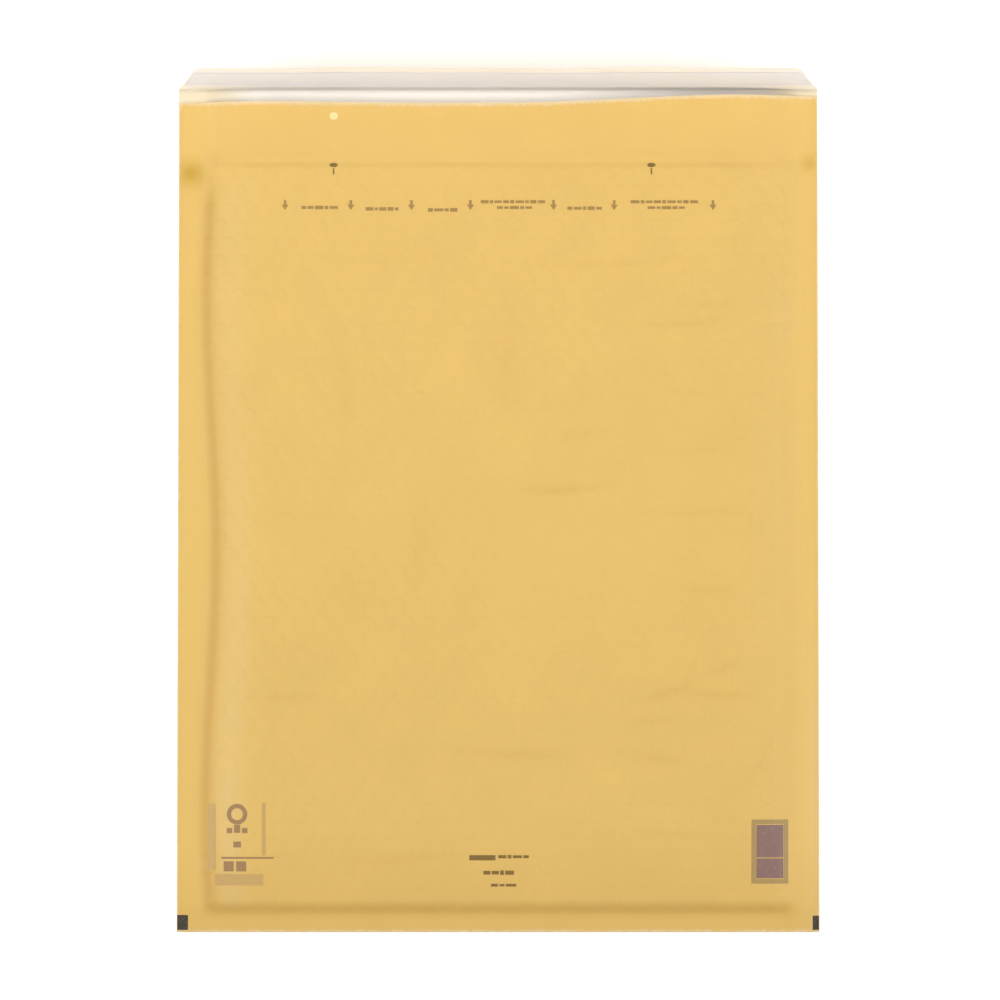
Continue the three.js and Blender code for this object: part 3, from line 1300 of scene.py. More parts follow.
@dataclass(frozen=True)
class WearAndPaintedLight:
    """How far, in millimetres, wear and painted shade, light and sheen reach over the sheet, and how
    strong.

    A stain is its distance from the body's side edge, its distance past the groove, its radius
    and its strength.
    """

    edge: float = 1.6
    fold: float = 2.2
    fold_share: float = 0.8
    tip: float = 1.3
    mouth: float = 1.2
    mouth_fade: float = 3.0
    stain_left: tuple[float, float, float, float] = (7.0, -5.0, 7.5, 1.0)
    stain_right: tuple[float, float, float, float] = (4.5, 1.0, 4.2, 0.7)
    # painted shade at the padding's foot: along the bottom, along the weld and a slow fade up
    foot: float = 3.5
    foot_place: float = 0.27
    foot_share: float = 0.65
    foot_end: float = 12.0
    weld: float = 4.2
    weld_share: float = 1.25
    low: float = 0.4
    low_start: float = 5.0
    low_fade: float = 55.0
    # painted sheen: a paler strip beside the left weld
    shoulder: float = 7.0
    shoulder_aside: float = 13.0
    shoulder_share: float = 0.4
    shoulder_start: float = 60.0
    shoulder_fade: float = 240.0
    # painted sheen: a paler patch on the right margin near the bottom
    corner: float = 5.0
    corner_inset: float = 4.5
    corner_height: float = 75.0
    corner_length: float = 100.0
    # painted shade in the creases: the depth that gives full shade, and the most shade
    fold_depth: float = 0.6
    most_fold: float = 1.2
    # painted shade at the ends of the crease's inside
    hollow_drop: float = 12.0
    hollow_rise: float = 8.0
    hollow_height: float = 2.5
    hollow_fade: float = 4.0
    hollow_end: float = 14.0
    hollow_end_fade: float = 32.0
    # painted light on the seam margins: where it starts from the edge and how long it fades in
    seam_start: float = 1.0
    seam_fade: float = 1.5
    crimp: float = 1.6


@dataclass
class KraftSheet:
    """The one sheet of paper: flap, crease, front panel, bottom fold and back panel."""

    form: EnvelopeForm
    placing: Placing
    across: list[int] = field(default_factory=lambda: [6, 8, 12, 72, 8, 8, 5])
    back_steps: list[int] = field(default_factory=lambda: [3, 1, 8, 40, 228, 11, 14])
    front_steps: list[int] = field(default_factory=lambda: [3, 1, 5, 8, 34, 3, 8])
    flap_steps: int = 20
    corner_steps: int = 6
    crease_steps: int = 7
    fold_steps: int = 8
    # the reach of wear, and of painted shade, light and sheen
    worn: WearAndPaintedLight = WearAndPaintedLight()

    def columns(self) -> Array:
        """Distances from the left edge, closer together where the padding rises."""
        return stations(self.form.column_stops, self.across)

    def rows(self, steps: list[int]) -> Array:
        """Distances from the bottom fold, closer together at the margin and the groove.

        Args:
            steps: how many steps each stretch gets.

        Returns:
            The distances.
        """
        f = self.form
        stops = [
            0.0,
            f.lining_bottom,
            f.bottom_margin,
            f.bottom_margin + f.bottom_rise,
            f.bottom_margin + f.pocket_bottom_rise,
            f.lining_edge - f.groove_lead,
            f.lining_edge - f.groove_lead + f.groove_spread,
            f.body_length,
        ]
        return stations(stops, steps)

    def grid(self, v: Array) -> tuple[Array, Array]:
        """x and v of every point on the given rows, as two arrays of rows by columns."""
        s, v = np.meshgrid(self.columns(), v)
        return self.form.column_x(s, v), v

    def flap(self, off: float) -> Array:
        """The flap's points from its tip down, off millimetres in from its outer face.

        Args:
            off: distance in from the outer face.

        Returns:
            x, v and height of each point, by rows and columns.
        """
        f = self.form
        turned = np.linspace(math.pi / 2, 0.0, self.corner_steps + 1)[:-1]
        corner = f.flap_length - f.flap_corner * (1 - np.sin(turned))
        straight = np.linspace(f.flap_length - f.flap_corner, 0.0, self.flap_steps + 1)
        t = np.concatenate([corner, straight])
        x, _ = self.grid(np.full_like(t, f.crease_line))
        return f.flap_point(x, np.broadcast_to(t[:, None], x.shape), off)

    def crease(self, off: float) -> Array:
        """Points round the crease: an arc from the flap's foot to under the front panel.

        Args:
            off: distance in from the outer face.

        Returns:
            x, v and height of each point, by rows and columns.
        """
        f = self.form
        base = math.radians(f.flap_base_angle)
        angle = np.linspace(base, 0.0, self.crease_steps + 1)[1:, None]
        x, v = self.grid(np.full(self.crease_steps, f.crease_line))
        outer = f.crease_radius + f.paper
        radius = outer - off
        z = f.underside(x, v) + outer - radius * np.cos(angle)
        return np.stack([x, v + radius * np.sin(angle), z], axis=-1)

    def front(self, off: float) -> Array:
        """The front panel's points, from the crease down to the bottom fold."""
        x, v = self.grid(self.rows(self.front_steps)[::-1])
        return np.stack([x, v, self.form.underside(x, v) + off], axis=-1)

    def bottom_fold(self, off: float) -> Array:
        """Points round the bottom fold: half a circle from under the stack to its top.

        Args:
            off: distance in from the outer face.

        Returns:
            x, v and height of each point, by rows and columns.
        """
        f = self.form
        angle = np.linspace(-math.pi / 2, math.pi / 2, self.fold_steps + 1)[1:-1, None]
        x, v = self.grid(np.zeros(self.fold_steps - 1))
        low, high = f.front_inside(x, v), f.back_inside(x, v)
        radius = (high - low) / 2 + f.paper - off
        middle = (low + high) / 2
        return np.stack([x, -radius * np.cos(angle), middle + radius * np.sin(angle)], axis=-1)

    def back(self, off: float) -> Array:
        """The back panel's points from the bottom fold to the mouth, with its skewed edge.

        Args:
            off: distance in from the outer face.

        Returns:
            x, v and height of each point, by rows and columns.
        """
        f = self.form
        x, v = self.grid(self.rows(self.back_steps))
        drawn = rise(v, f.groove_line, f.body_length - f.groove_line)
        v = v + f.mouth_shift(x) * drawn
        return np.stack([x, v, f.back_inside(x, v) + f.paper - off], axis=-1)

    def strip(self, off: float) -> Array:
        """All the sheet's points on one face, in one grid, off millimetres in."""
        parts = [self.flap(off), self.crease(off), self.front(off), self.bottom_fold(off)]
        return np.concatenate([*parts, self.back(off)])

    def back_start(self) -> int:
        """The number of the strip's first row that lies on the back panel."""
        before = [self.flap(0.0), self.crease(0.0), self.front(0.0), self.bottom_fold(0.0)]
        return sum(len(part) for part in before)

    def masks(self, points: Array) -> dict[str, Array]:
        """Where the finish, painted shade, light and sheen included, changes over one face of the
        sheet.

        Most masks are a product, a sum or the largest of bells and smooth steps of the distance
        to an edge, the groove, the weld or the table. The crease mask is the creases' depth, and
        seam_step counts the crimps in from the nearer edge.

        Args:
            points: the grid from strip(), in millimetres.

        Returns:
            crease, foot and hollow (painted shade), the painted sheen, wear, stain, seam (painted
            light and crimps), seam_step and lined, for each point.
        """
        f, w = self.form, self.worn
        x, v, z = points[..., 0], points[..., 1], points[..., 2]
        s = np.broadcast_to(self.columns(), x.shape)
        side = np.minimum(s, f.body_width - s)
        row = np.arange(x.shape[0])[:, None]
        is_back = row >= self.back_start()
        off_flap = row >= len(self.flap(0.0)) + self.crease_steps
        drop = f.body_length + f.mouth_shift(x) - v
        edges = [
            bell(side, w.edge),
            bell(v, w.fold) * w.fold_share,
            bell(z.max() - z, w.tip) * ~off_flap,
            (1 - rise(drop, w.mouth, w.mouth_fade)) * is_back,
        ]
        stain = sum(
            bell(np.hypot(from_side - inset, v - f.groove_line - past), radius) * strength
            for from_side, (inset, past, radius, strength) in (
                (f.half_width + x, w.stain_left),
                (f.half_width - x, w.stain_right),
            )
        )
        # painted shade at the padding's foot, along the weld and fading up from the bottom
        foot = self.foot_shade(x, v, s)
        # painted sheen: a paler strip beside the left weld, and a paler patch on the right margin
        # near the bottom
        shoulder = f.weld(x, v, w.shoulder, w.shoulder_aside)
        fade = 1 - rise(v, w.shoulder_start, w.shoulder_fade)
        shoulder = shoulder * (w.shoulder_share + (1 - w.shoulder_share) * fade)
        corner = bell(f.body_width - s - w.corner_inset, w.corner)
        corner = corner * bell(v - w.corner_height, w.corner_length)
        # painted shade in the creases: their depth darkens the gold
        folded = -sum(crease.height(x, v) for crease in HANDLING) / w.fold_depth
        # painted shade at the two ends of the crease's inside, where it turns up into the flap
        low = rise(v, f.body_length - w.hollow_drop, w.hollow_rise)
        low = low * (1 - rise(z, w.hollow_height, w.hollow_fade)) * ~is_back
        # painted light: the flat seam margins, which the seam layer lightens and the crimps follow
        painted_seam_light = (1 - f.padding(x, v)) * rise(v, f.bottom_margin, f.bottom_rise) * off_flap
        return {
            "crease": np.clip(folded * is_back, 0.0, w.most_fold),
            "foot": foot * is_back,
            "hollow": low * (1 - rise(side, w.hollow_end, w.hollow_end_fade)),
            "painted_sheen": (shoulder + corner) * is_back,
            "wear": np.maximum.reduce(edges),
            "stain": stain * off_flap,
            "seam": painted_seam_light * rise(side, w.seam_start, w.seam_fade),
            "seam_step": side / w.crimp,
            "lined": f.padding(x, v) * (v < f.lining_edge) * off_flap,
        }

    def foot_shade(self, x: Array, v: Array, s: Array) -> Array:
        """The painted shade at the padding's foot: bells along the bottom and the weld, and a slow
        fade.

        Args:
            x: place across the body.
            v: place along the panel.
            s: distance from the body's left edge.

        Returns:
            The painted shade at each point.
        """
        f, w = self.form, self.worn
        across = rise(s, f.left_seam, f.left_rise)
        across = across * rise(f.body_width - s, f.right_seam, w.foot_end)
        line = bell(v - f.bottom_margin - w.foot_place * f.bottom_rise, w.foot) * across
        weld = w.weld_share * f.weld(x, v, w.weld)
        return w.foot_share * line + weld + w.low * (1 - rise(v, w.low_start, w.low_fade))

    def build(self, materials: list[bpy.types.Material]) -> bpy.types.Object:
        """Makes the sheet.

        Args:
            materials: the finish of the outside, the inside and the cut edge.

        Returns:
            The sheet's object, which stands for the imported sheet.
        """
        outer, inner = self.strip(0.0), self.strip(self.form.paper)
        masks = {
            key: np.concatenate([value.ravel(), value.ravel()])
            for key, value in self.masks(outer).items()
        }
        solid = shell(self.placing.metres(outer), self.placing.metres(inner))
        made = add_piece("kraft_sheet_dressed", solid, materials, masks, by_side=True)
        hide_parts("kraft_sheet")
        return made


@dataclass
class BackSurface:
    """The back panel's outer face as its mesh has it, for print to lie on."""

    sheet: KraftSheet

    def __post_init__(self) -> None:
        """Keeps the grid of points and its row and column stations."""
        self.points = self.sheet.back(0.0)
        self.s = self.sheet.columns()
        self.v = self.sheet.rows(self.sheet.back_steps)

    def at(self, x: Array, v: Array, proud: float) -> Array:
        """Points on the mesh's own triangles, a little above them.

        The column of a point is found by four rounds of subtracting the seam's wander, and its
        place in the cell then blends the three corners of the triangle that it falls in.

        Args:
            x: place across the panel.
            v: place along the panel.
            proud: how far above the paper.

        Returns:
            x, v and height of each point.
        """
        f = self.sheet.form
        s = x + f.half_width
        for _ in range(4):
            s = s - (f.column_x(s, v) - x)
        column = np.interp(s, self.s, np.arange(len(self.s)))
        row = np.interp(v, self.v, np.arange(len(self.v)))
        c = np.clip(column.astype(int), 0, len(self.s) - 2)
        r = np.clip(row.astype(int), 0, len(self.v) - 2)
        a, b = (column - c)[..., None], (row - r)[..., None]
        p00, p01 = self.points[r, c], self.points[r, c + 1]
        p10, p11 = self.points[r + 1, c], self.points[r + 1, c + 1]
        right = p00 + a * (p01 - p00) + b * (p11 - p01)
        left = p00 + b * (p10 - p00) + a * (p11 - p10)
        return np.where(a >= b, right, left) + np.array([0.0, 0.0, proud])


@dataclass
class BubbleLining:
    """The bag of bubble film: one folded film, and the bubbles on its two walls."""

    form: EnvelopeForm
    placing: Placing
    film: float = 0.12
    pitch: float = 11.5
    bubble_radius: float = 5.0
    least_height: float = 0.9
    sunk: float = 0.04
    slip: float = 0.05
    weld_share: float = 0.7
    weld_width: float = 4.5
    across: list[int] = field(default_factory=lambda: [4, 6, 10, 60, 7, 7, 4])
    along: list[int] = field(default_factory=lambda: [8, 20, 110])
    fold_steps: int = 6
    sharp: float = 70.0
    fill: float = 0.8
    segments: int = 12
    profile: tuple[tuple[float, float], ...] = ((0.58, 0.96), (0.9, 0.68), (1.0, 0.0))

    def columns(self) -> Array:
        """Distances from the left edge for the film's grid."""
        return stations(self.form.column_stops, self.across)

    def end(self, high: bool) -> float:
        """Where the lining's back wall or its front wall ends."""
        return self.form.lining_edge if high else self.form.body_length - self.form.front_lining_drop

    def rows(self, high: bool) -> Array:
        """Distances from the bottom fold, up to where one wall of the lining ends.

        Args:
            high: whether it is the back wall.

        Returns:
            The distances.
        """
        f = self.form
        low = f.lining_bottom + f.fold_radius
        stops = [low, f.bottom_margin + f.bottom_rise, f.bottom_margin + f.pocket_bottom_rise]
        return stations([*stops, self.end(high)], self.along)

    def level(self, x: Array, v: Array, high: bool) -> Array:
        """The outer face of the lining's back wall, which clears the weld, or of its front wall.

        Args:
            x: place across the body.
            v: place along the panel.
            high: whether it is the back wall.

        Returns:
            Its height above the table.
        """
        if not high:
            return self.form.lining_low(x, v)
        weld = self.weld_share * self.form.weld(x, v, self.weld_width)
        return self.form.lining_high(x, v) - self.slip - weld

    def wall(self, high: bool, off: float) -> Array:
        """One wall's points, from the bottom up, off millimetres in from its outer face.

        Args:
            high: whether it is the back wall.
            off: distance in from the outer face.

        Returns:
            x, v and height of each point, by rows and columns.
        """
        s, v = np.meshgrid(self.columns(), self.rows(high))
        x = self.form.column_x(s, v)
        z = self.level(x, v, high) + (-off if high else off)
        return np.stack([x, v, z], axis=-1)

    def fold(self, off: float) -> Array:
        """The lining's own fold: half a circle that joins the two walls' lowest rows.

        Args:
            off: distance in from the outer face.

        Returns:
            x, v and height of each point, by rows and columns.
        """
        low, high = self.wall(False, off)[0], self.wall(True, off)[0]
        angle = np.linspace(-math.pi / 2, math.pi / 2, self.fold_steps + 1)[1:-1, None]
        radius = (high[:, 2] - low[:, 2]) / 2
        z = (high[:, 2] + low[:, 2]) / 2 + radius * np.sin(angle)
        x = np.broadcast_to(low[:, 0], z.shape)
        return np.stack([x, low[:, 1] - radius * np.cos(angle), z], axis=-1)

    def strip(self, off: float) -> Array:
        """The film's points on one face, from the front wall's edge to the back wall's."""
        return np.concatenate([self.wall(False, off)[::-1], self.fold(off), self.wall(True, off)])

    def centres(self, end: float) -> Array:
        """Bubble centres: rows a pitch apart times the root of 3 over 2, every other shifted.

        Args:
            end: where the wall ends.

        Returns:
            x and v of each centre.
        """
        f = self.form
        tall = self.pitch * math.sqrt(3) / 2
        v = np.arange(f.bottom_margin + f.bottom_rise, end - self.bubble_radius, tall)
        x = np.arange(-f.half_width, f.half_width, self.pitch)
        x, v = np.meshgrid(x, v)
        x = x + (np.arange(len(v))[:, None] % 2) * self.pitch / 2
        return np.stack([x.ravel(), v.ravel()], axis=-1)

    def bubbles(self, high: bool) -> Solid:
        """All the bubbles of one wall, each a closed dome that stands on the film.

        A dome's point is its centre plus a turned radius, and its height is the wall's height
        there, or at the centre if that is less, times the profile's share.

        Args:
            high: whether they hang from the back wall or stand on the front wall.

        Returns:
            The domes as one solid in metres.
        """
        f = self.form
        centre = self.centres(self.end(high))
        height = f.wall(centre[:, 0], centre[:, 1]) - self.film
        kept = height > self.least_height
        centre, height = centre[kept], height[kept]
        turns = np.arange(self.segments) * TURN / self.segments
        radius = np.array([r for r, _ in self.profile])[:, None] * self.bubble_radius
        share = np.array([h for _, h in self.profile])[:, None] * np.ones(self.segments)
        ring_x, ring_v = radius * np.cos(turns), radius * np.sin(turns)
        local_x, local_v, local_h = (
            np.concatenate([[first], ring.ravel(), [0.0]])
            for first, ring in ((0.0, ring_x), (0.0, ring_v), (1.0, share))
        )
        x = centre[:, :1] + local_x
        v = centre[:, 1:] + local_v
        up = -1.0 if high else 1.0
        tall = np.minimum(height[:, None], f.wall(x, v) - self.film)
        z = self.level(x, v, high) + up * (self.film - self.sunk + tall * local_h)
        points = np.stack([x, v, z], axis=-1)
        starts = np.arange(len(centre))[:, None, None] * len(local_x)
        faces = (self.dome_faces(flip=high)[None] + starts).reshape(-1, 3)
        return Solid(self.placing.metres(points.reshape(-1, 3)), faces, np.zeros(len(faces)))

    def dome_faces(self, flip: bool) -> Array:
        """One dome's triangles: a fan at its top, a band between rings, a fan underneath.

        Args:
            flip: whether the dome hangs down.

        Returns:
            Three point numbers for each triangle.
        """
        n, rings = self.segments, len(self.profile)
        near = np.arange(n)
        following = (near + 1) % n
        fans = [np.stack([np.zeros(n, int), 1 + near, 1 + following], -1)]
        for a in range(1, 1 + (rings - 1) * n, n):
            b = a + n
            fans.append(np.stack([a + near, b + near, b + following], -1))
            fans.append(np.stack([a + near, b + following, a + following], -1))
        last = 1 + (rings - 1) * n
        fans.append(np.stack([np.full(n, last + n), last + following, last + near], -1))
        faces = np.concatenate(fans)
        return faces[:, ::-1] if flip else faces

    def build(self, film: bpy.types.Material) -> None:
        """Makes the film and the bubbles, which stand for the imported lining.

        Args:
            film: the finish of film and bubbles.
        """
        outer, inner = self.strip(0.0), self.strip(self.film)
        solid = shell(self.placing.metres(outer), self.placing.metres(inner))
        sheet = add_piece("lining_film", solid, [film])
        front = add_piece("lining_bubbles_front", self.bubbles(False), [film], sharp=self.sharp)
        back = add_piece("lining_bubbles_back", self.bubbles(True), [film], sharp=self.sharp)
        for made in (sheet, front, back):
            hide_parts("bubble_lining")


@dataclass
class FlapStrip:
    """A strip on the inside of the flap, which follows the flap's waves."""

    form: EnvelopeForm
    placing: Placing
    name: str
    node: str
    slot: str
    start: float
    width: float
    inset: float
    off: float
    thickness: float
    flutter: float = 0.0
    edge_waver: float = 0.0
    across: int = 181
    along: int = 13

    def face(self, depth: float) -> Array:
        """One face's points, from the strip's upper edge down, depth in from its outer face.

        The strip flutters off the flap by a sum of sines across it that fades at its edges,
        and its two long edges waver by another.

        Args:
            depth: how far below the outer face.

        Returns:
            x, v and height of each point, by rows and columns.
        """
        f = self.form
        half = f.half_width - self.inset
        x, share = np.meshgrid(
            np.linspace(-half, half, self.across), np.linspace(1.0, 0.0, self.along)
        )
        waver = self.edge_waver * (np.sin(x / 9.0) + 0.6 * np.sin(x / 3.7 + 1.0))
        t = self.start + self.width * share + waver * (2 * share - 1)
        puff = np.sin(x / 12.5 + 0.6 * np.sin(x / 41)) + 0.5 * np.sin(x / 5.3 + 2.0)
        puff = self.flutter * puff * np.sin(math.pi * share) ** 0.5
        return f.flap_point(x, t, self.off + depth + np.abs(puff))

    def build(self, material: bpy.types.Material) -> bpy.types.Object:
        """Makes the strip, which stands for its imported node.

        Args:
            material: its finish.

        Returns:
            The strip's object.
        """
        outer = self.placing.metres(self.face(0.0))
        inner = self.placing.metres(self.face(self.thickness))
        made = add_piece(self.name, shell(outer, inner), [material])
        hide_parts(self.node)
        return made


@dataclass
class BackPrint:
    """The small printed marks on the back panel: arrows, bars, a ring and blocks.

    A bar is given as the x and v of its middle, its width and its height.
    """

    surface: BackSurface
    placing: Placing
    proud: float = 0.05
    sunk: float = 0.05
    step: float = 0.7
    word_length: float = 4.2
    word_gap: float = 0.75
    oval_sides: int = 24
    ring_sides: int = 32
    row: float = 418.0
    sign: float = -150.0
    block_x: float = 156.3

    def patch(self, x: Array, v: Array, ring: bool = False) -> Solid:
        """A thin closed plate over a grid of places on the panel.

        Args:
            x: place across the body.
            v: place along the panel.
            ring: whether the last column joins up with the first.

        Returns:
            The plate.
        """
        top = self.surface.at(x, v, self.proud)
        low = self.surface.at(x, v, -self.sunk)
        return shell(self.placing.metres(top), self.placing.metres(low), ring)

    def bar(self, x: float, v: float, width: float, height: float) -> Solid:
        """A bar whose middle is at a place.

        Args:
            x: place across the body.
            v: place along the panel.
            width: how wide it is.
            height: how tall it is.

        Returns:
            The bar.
        """
        across = np.linspace(-width / 2, width / 2, max(2, round(width / self.step) + 1))
        up = np.linspace(-height / 2, height / 2, max(2, round(height / self.step) + 1))
        gx, gv = np.meshgrid(x + across, v + up)
        return self.patch(gx, gv)

    def bars(self, *boxes: tuple[float, float, float, float]) -> list[Solid]:
        """A bar for each box of x, v, width and height."""
        return [self.bar(*box) for box in boxes]

    def broken_bar(self, x: float, v: float, width: float, height: float) -> list[Solid]:
        """A row of short blocks with narrow gaps, whose widths and heights vary.

        Block k is 1 + 0.45 sin(2.4 k + x) shares wide, and all the shares fill the width.

        Args:
            x: place across the body.
            v: place along the panel.
            width: how long the row is.
            height: how tall it is.

        Returns:
            The blocks.
        """
        count = max(3, round(width / self.word_length))
        k = np.arange(count)
        shares = 1 + 0.45 * np.sin(2.4 * k + x)
        widths = shares / shares.sum() * (width - self.word_gap * (count - 1))
        starts = np.concatenate([[0.0], np.cumsum(widths + self.word_gap)[:-1]])
        heights = height * (0.9 + 0.14 * np.cos(1.9 * k + v))
        middles = x - width / 2 + starts + widths / 2
        return self.bars(*((m, v, w, h) for m, w, h in zip(middles, widths, heights)))

    def oval(self, x: float, v: float, width: float, height: float) -> Solid:
        """A filled oval whose middle is at a place.

        Args:
            x: place across the body.
            v: place along the panel.
            width: how wide it is.
            height: how tall it is.

        Returns:
            The oval.
        """
        angle = np.arange(self.oval_sides) * TURN / self.oval_sides
        share = np.array([0.5, 0.3, 0.02])[:, None]
        gx = x + share * width * np.cos(angle)
        gv = v + share * height * np.sin(angle)
        return self.patch(gx, gv, ring=True)

    def arrow(self, x: float, v: float, height: float) -> list[Solid]:
        """A small arrow that points down: a stem and a head that narrows to a blunt tip.

        Args:
            x: place across the body.
            v: place along the panel.
            height: how tall it is.

        Returns:
            The head and the stem.
        """
        head, width = 0.55 * height, 0.72 * height
        share = np.linspace(0.0, 1.0, 6)
        half = np.maximum(share * width / 2, 0.05)
        gx = x + half[:, None] * np.linspace(-1, 1, 5)
        gv = v - height / 2 + head * share[:, None] + np.zeros(5)
        stem = self.bar(x, v + head / 2, 0.26 * height, height - head)
        return [self.patch(gx, gv), stem]

    def ring(self, x: float, v: float, radius: float, line: float) -> Solid:
        """A ring of a line's width round a centre.

        Args:
            x: place across the body.
            v: place along the panel.
            radius: to the middle of its line.
            line: how wide its line is.

        Returns:
            The ring.
        """
        angle = np.arange(self.ring_sides) * TURN / self.ring_sides
        reach = radius + np.array([0.5, 0.0, -0.5]) * line
        gx = x + reach[:, None] * np.cos(angle)
        gv = v + reach[:, None] * np.sin(angle)
        return self.patch(gx, gv, ring=True)

    def frame(self, x: float, v: float, width: float, height: float, line: float) -> list[Solid]:
        """The outline of an upright rectangle, as four bars.

        Args:
            x: place across the body.
            v: place along the panel.
            width: how wide it is.
            height: how tall it is.
            line: how wide each bar is.

        Returns:
            The four bars.
        """
        side, end, inner = (width - line) / 2, (height - line) / 2, height - 2 * line
        flat = [(x, v + end, width, line), (x, v - end, width, line)]
        return self.bars(*flat, (x - side, v, line, inner), (x + side, v, line, inner))

    def heading(self) -> list[Solid]:
        """The row below the groove: arrows with bars between them.

        Returns:
            The marks.
        """
        marks = []
        for x in (-123, -85, -50, -16, 32, 67, 124):
            marks += self.arrow(x, self.row, 5.8)
        for x, drop, width in ((-103, 1.4, 21), (-67, 2.2, 19), (-32, 2.8, 17), (50, 1.8, 20)):
            marks += self.broken_bar(x, self.row - drop, width, 2.1)
        for x, width in ((8.5, 37), (96, 39)):
            marks += self.broken_bar(x, self.row + 1.9, width, 1.9)
            marks += self.broken_bar(x + 1, self.row - 1.5, 0.55 * width, 1.8)
        return marks

    def imprint(self) -> list[Solid]:
        """Three short lines, one below the other, in the middle near the bottom.

        Returns:
            The marks.
        """
        return [
            self.bar(-9.0, 42.0, 15, 3.0),
            *self.broken_bar(8.9, 42.6, 17.5, 2.0),
            *self.broken_bar(0.3, 33.4, 17.5, 2.6),
            *self.broken_bar(3.2, 26.2, 14.5, 1.7),
        ]

    def care_sign(self) -> list[Solid]:
        """A ring over a stack of blocks near the lower left corner.

        Returns:
            The marks.
        """
        x = self.sign
        stack = self.bars(
            (x, 58.6, 3.6, 4.6),
            (x - 4.4, 57.6, 3.2, 3.0),
            (x + 4.4, 57.6, 3.2, 3.0),
            (x, 49.6, 4.4, 3.4),
            (x + 6.0, 41.9, 30.0, 1.1),
            (x - 4.9, 37.0, 5.8, 5.8),
            (x + 2.3, 37.0, 5.8, 5.8),
        )
        return [self.ring(x, 67.0, 4.7, 2.5), *stack]

    def care_base(self) -> list[Solid]:
        """The pale bar under the sign, and the faint frame lines beside it."""
        x = self.sign
        return self.bars((x + 1.0, 29.3, 28, 6.6), (x - 14.6, 54, 4.4, 38), (x + 15.4, 58.5, 2.2, 30))

    def block(self) -> list[Solid]:
        """The filled panel near the lower right corner."""
        return self.bars((self.block_x, 51.6, 15.6, 18.6), (self.block_x, 35.8, 15.6, 11.4))

    def block_frame(self) -> list[Solid]:
        """The narrow lighter frame round the filled panel, and a light line across it."""
        x = self.block_x
        return [*self.frame(x, 45.5, 21.4, 36.9, 2.7), self.bar(x, 41.9, 15.6, 0.5)]

    def pins(self) -> list[Solid]:
        """Two dark register pins in the groove, each with a thin tail.

        Returns:
            The marks.
        """
        marks = []
        for x in (-95.0, 88.5):
            marks.append(self.oval(x, 441.3, 4.8, 2.7))
            marks.append(self.bar(x, 437.6, 0.9, 3.6))
        return marks

    def bare_spot(self) -> list[Solid]:
        """One round spot that the gold print missed."""
        return [self.oval(-95.0, 471.5, 4.8, 4.6)]

    def corners(self) -> list[Solid]:
        """Two register squares on the lower corners."""
        return self.bars((-181.7, 4.6, 6.2, 8.6), (183.0, 4.4, 3.6, 8.2))

    def build(self) -> None:
        """Makes each group of marks as one piece, in its ink."""
        groups = {
            "print_heading": (self.heading(), Ink.BROWN),
            "print_imprint": (self.imprint(), Ink.DARK),
            "print_care_sign": (self.care_sign(), Ink.UMBER),
            "print_care_base": (self.care_base(), Ink.FAINT),
            "print_block": (self.block(), Ink.VIOLET),
            "print_block_frame": (self.block_frame(), Ink.OLIVE),
            "print_pins": (self.pins(), Ink.DARK),
            "print_bare_spot": (self.bare_spot(), Ink.BARE),
            "print_corners": (self.corners(), Ink.BLACK),
        }
        inks = {ink: PrintInk(ink).build() for ink in Ink}
        for name, (solids, ink) in groups.items():
            add_piece(name, Solid.join(solids), [inks[ink]])


# Studio


@dataclass(frozen=True)
class SoftBox:
    """A studio lamp with a wide, soft face, which a grid may narrow to a beam."""

    name: str
    place: tuple[float, float, float]
    size: tuple[float, float]
    power: float
    aim: tuple[float, float, float] = (0.0, 0.0, 0.0)
    beam: float = 180.0

    def build(self) -> None:
        """Adds the lamp, which points at its aim."""
        lamp = bpy.data.lights.new(self.name, "AREA")
        lamp.shape = "RECTANGLE"
        lamp.size, lamp.size_y = self.size
        lamp.spread = math.radians(self.beam)
        lamp.energy = self.power
        made = bpy.data.objects.new(self.name, lamp)
        made.location = self.place
        along = Vector(self.aim) - Vector(self.place)
        made.rotation_euler = along.to_track_quat("-Z", "Y").to_euler()
        bpy.context.scene.collection.objects.link(made)


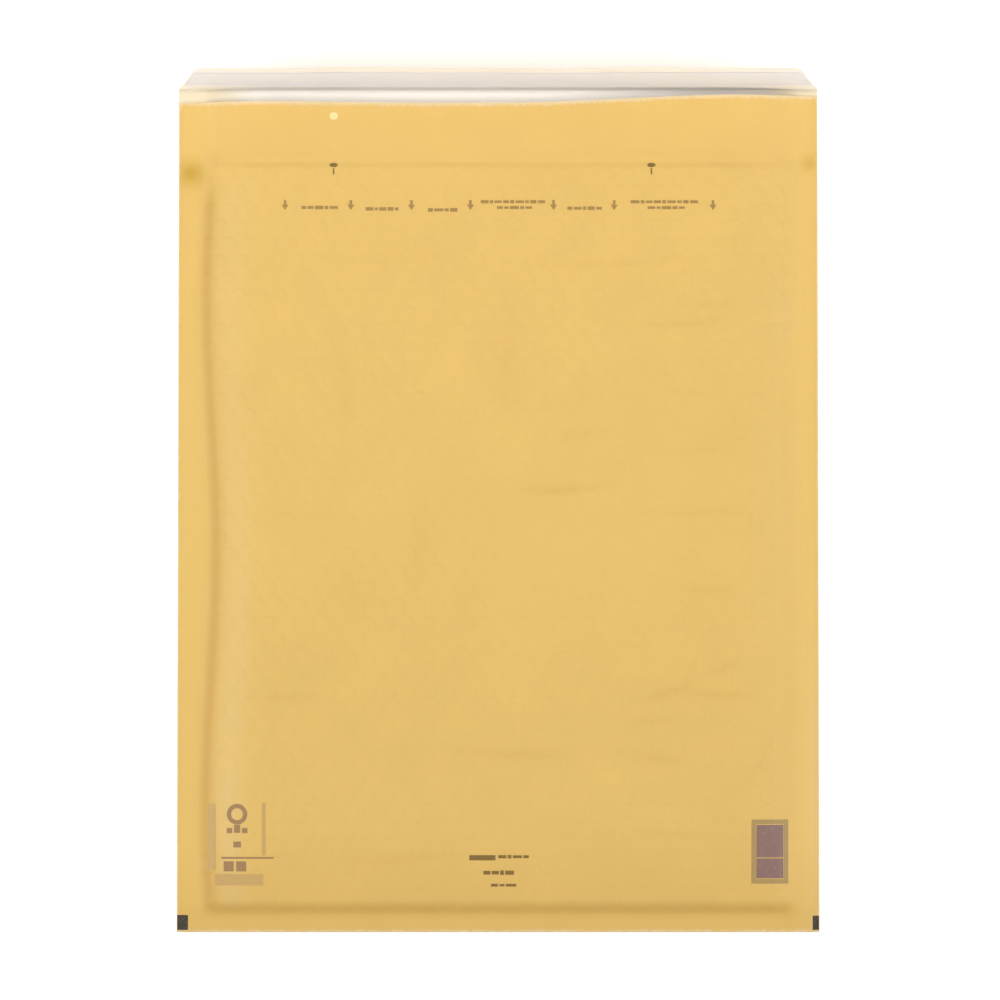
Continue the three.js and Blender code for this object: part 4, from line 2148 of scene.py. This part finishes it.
@dataclass(frozen=True)
class Studio:
    """The pale table, the lamps and the camera above the envelope."""

    elevation: float = 87.6
    distance: float = 3.0
    lens: float = 186.7
    sensor: float = 36.0
    aim: tuple[float, float] = (0.0011, 0.0023)
    far: float = 50.0
    table_half: float = 4.0
    table_drop: float = 0.0003
    sky: float = 0.46
    lamps: tuple[SoftBox, ...] = (
        SoftBox("right", (2.3, -0.02, 1.7), (1.2, 0.9), 42.5),
        SoftBox("left", (-2.3, -0.02, 1.7), (1.2, 0.9), 46.5),
        SoftBox("upper", (0.0, -0.55, 1.8), (0.7, 0.4), 0.14, (0.0, 0.24, 0.02), 30.0),
        SoftBox("front", (0.0, -2.1, 0.62), (0.5, 0.05), 0.042, (0.0, 0.24, 0.03), 7.0),
    )

    def table(self) -> None:
        """Adds the table top just under the envelope."""
        h, z = self.table_half, -self.table_drop
        points = [(-h, -h, z), (h, -h, z), (h, h, z), (-h, h, z)]
        mesh = bpy.data.meshes.new("table_top")
        mesh.from_pydata(points, [], [(0, 1, 2, 3)])
        mesh.materials.append(TableTop().build())
        made = bpy.data.objects.new("table_top", mesh)
        bpy.context.scene.collection.objects.link(made)

    def world(self) -> None:
        """Sets an even pale light from all round."""
        world = bpy.data.worlds.new("studio")
        world.use_nodes = True
        background = world.node_tree.nodes["Background"]
        background.inputs["Color"].default_value = (1.0, 1.0, 1.0, 1.0)
        background.inputs["Strength"].default_value = self.sky
        bpy.context.scene.world = world

    def camera(self) -> None:
        """Adds the camera, which looks down from a little below upright."""
        lens = bpy.data.cameras.new("camera")
        lens.lens = self.lens
        lens.sensor_width = self.sensor
        lens.clip_end = self.far
        made = bpy.data.objects.new("camera", lens)
        tilt = math.radians(self.elevation)
        back = Vector((0.0, -math.cos(tilt), math.sin(tilt)))
        made.location = Vector((*self.aim, 0.0)) + back * self.distance
        made.rotation_euler = (-back).to_track_quat("-Z", "Y").to_euler()
        bpy.context.scene.collection.objects.link(made)
        bpy.context.scene.camera = made

    def build(self) -> None:
        """Sets up everything round the envelope."""
        self.table()
        self.world()
        for lamp in self.lamps:
            lamp.build()
        self.camera()
        bpy.context.scene.view_settings.view_transform = "Standard"


def dress_envelope() -> None:
    """Builds every piece of the envelope with its finish."""
    form = EnvelopeForm()
    placing = Placing.from_frame(form)
    outside = GoldKraft().build()
    # the inside's shade colour is painted shade at the ends of the crease
    inside = PlainPaper(
        "pale_inside", paint(0.95, 0.895, 0.82), 0.62, contrast=0.07, shade=paint(0.77, 0.67, 0.48)
    ).build()
    cut = PlainPaper("cut_edge", paint(0.80, 0.68, 0.48), 0.75).build()
    release = PlainPaper(
        "release_paper", paint(0.82, 0.84, 0.90), 0.42, contrast=0.04, coat=0.35, grain=0.00001
    ).build()
    sheet = KraftSheet(form, placing)
    sheet.build([outside, inside, cut])
    BubbleLining(form, placing).build(BubbleFilm().build())
    glue_off = form.paper + 0.02
    FlapStrip(
        form, placing, "seal_glue_band", "adhesive_band", "seal_glue",
        start=17.3, width=21.0, inset=4.0, off=glue_off, thickness=0.2, edge_waver=0.25,
    ).build(SealGlue().build())
    FlapStrip(
        form, placing, "release_strip", "release_liner", "liner_paper",
        start=14.3, width=27.0, inset=0.8, off=glue_off + 0.22, thickness=0.12, flutter=0.18,
    ).build(release)
    BackPrint(BackSurface(sheet), placing).build()


def main() -> None:
    """Loads the frame, dresses the envelope and sets up the studio round it."""
    logging.basicConfig(level=logging.INFO, format="%(name)s: %(message)s")
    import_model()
    dress_envelope()
    Studio().build()


if __name__ == "__main__":
    main()
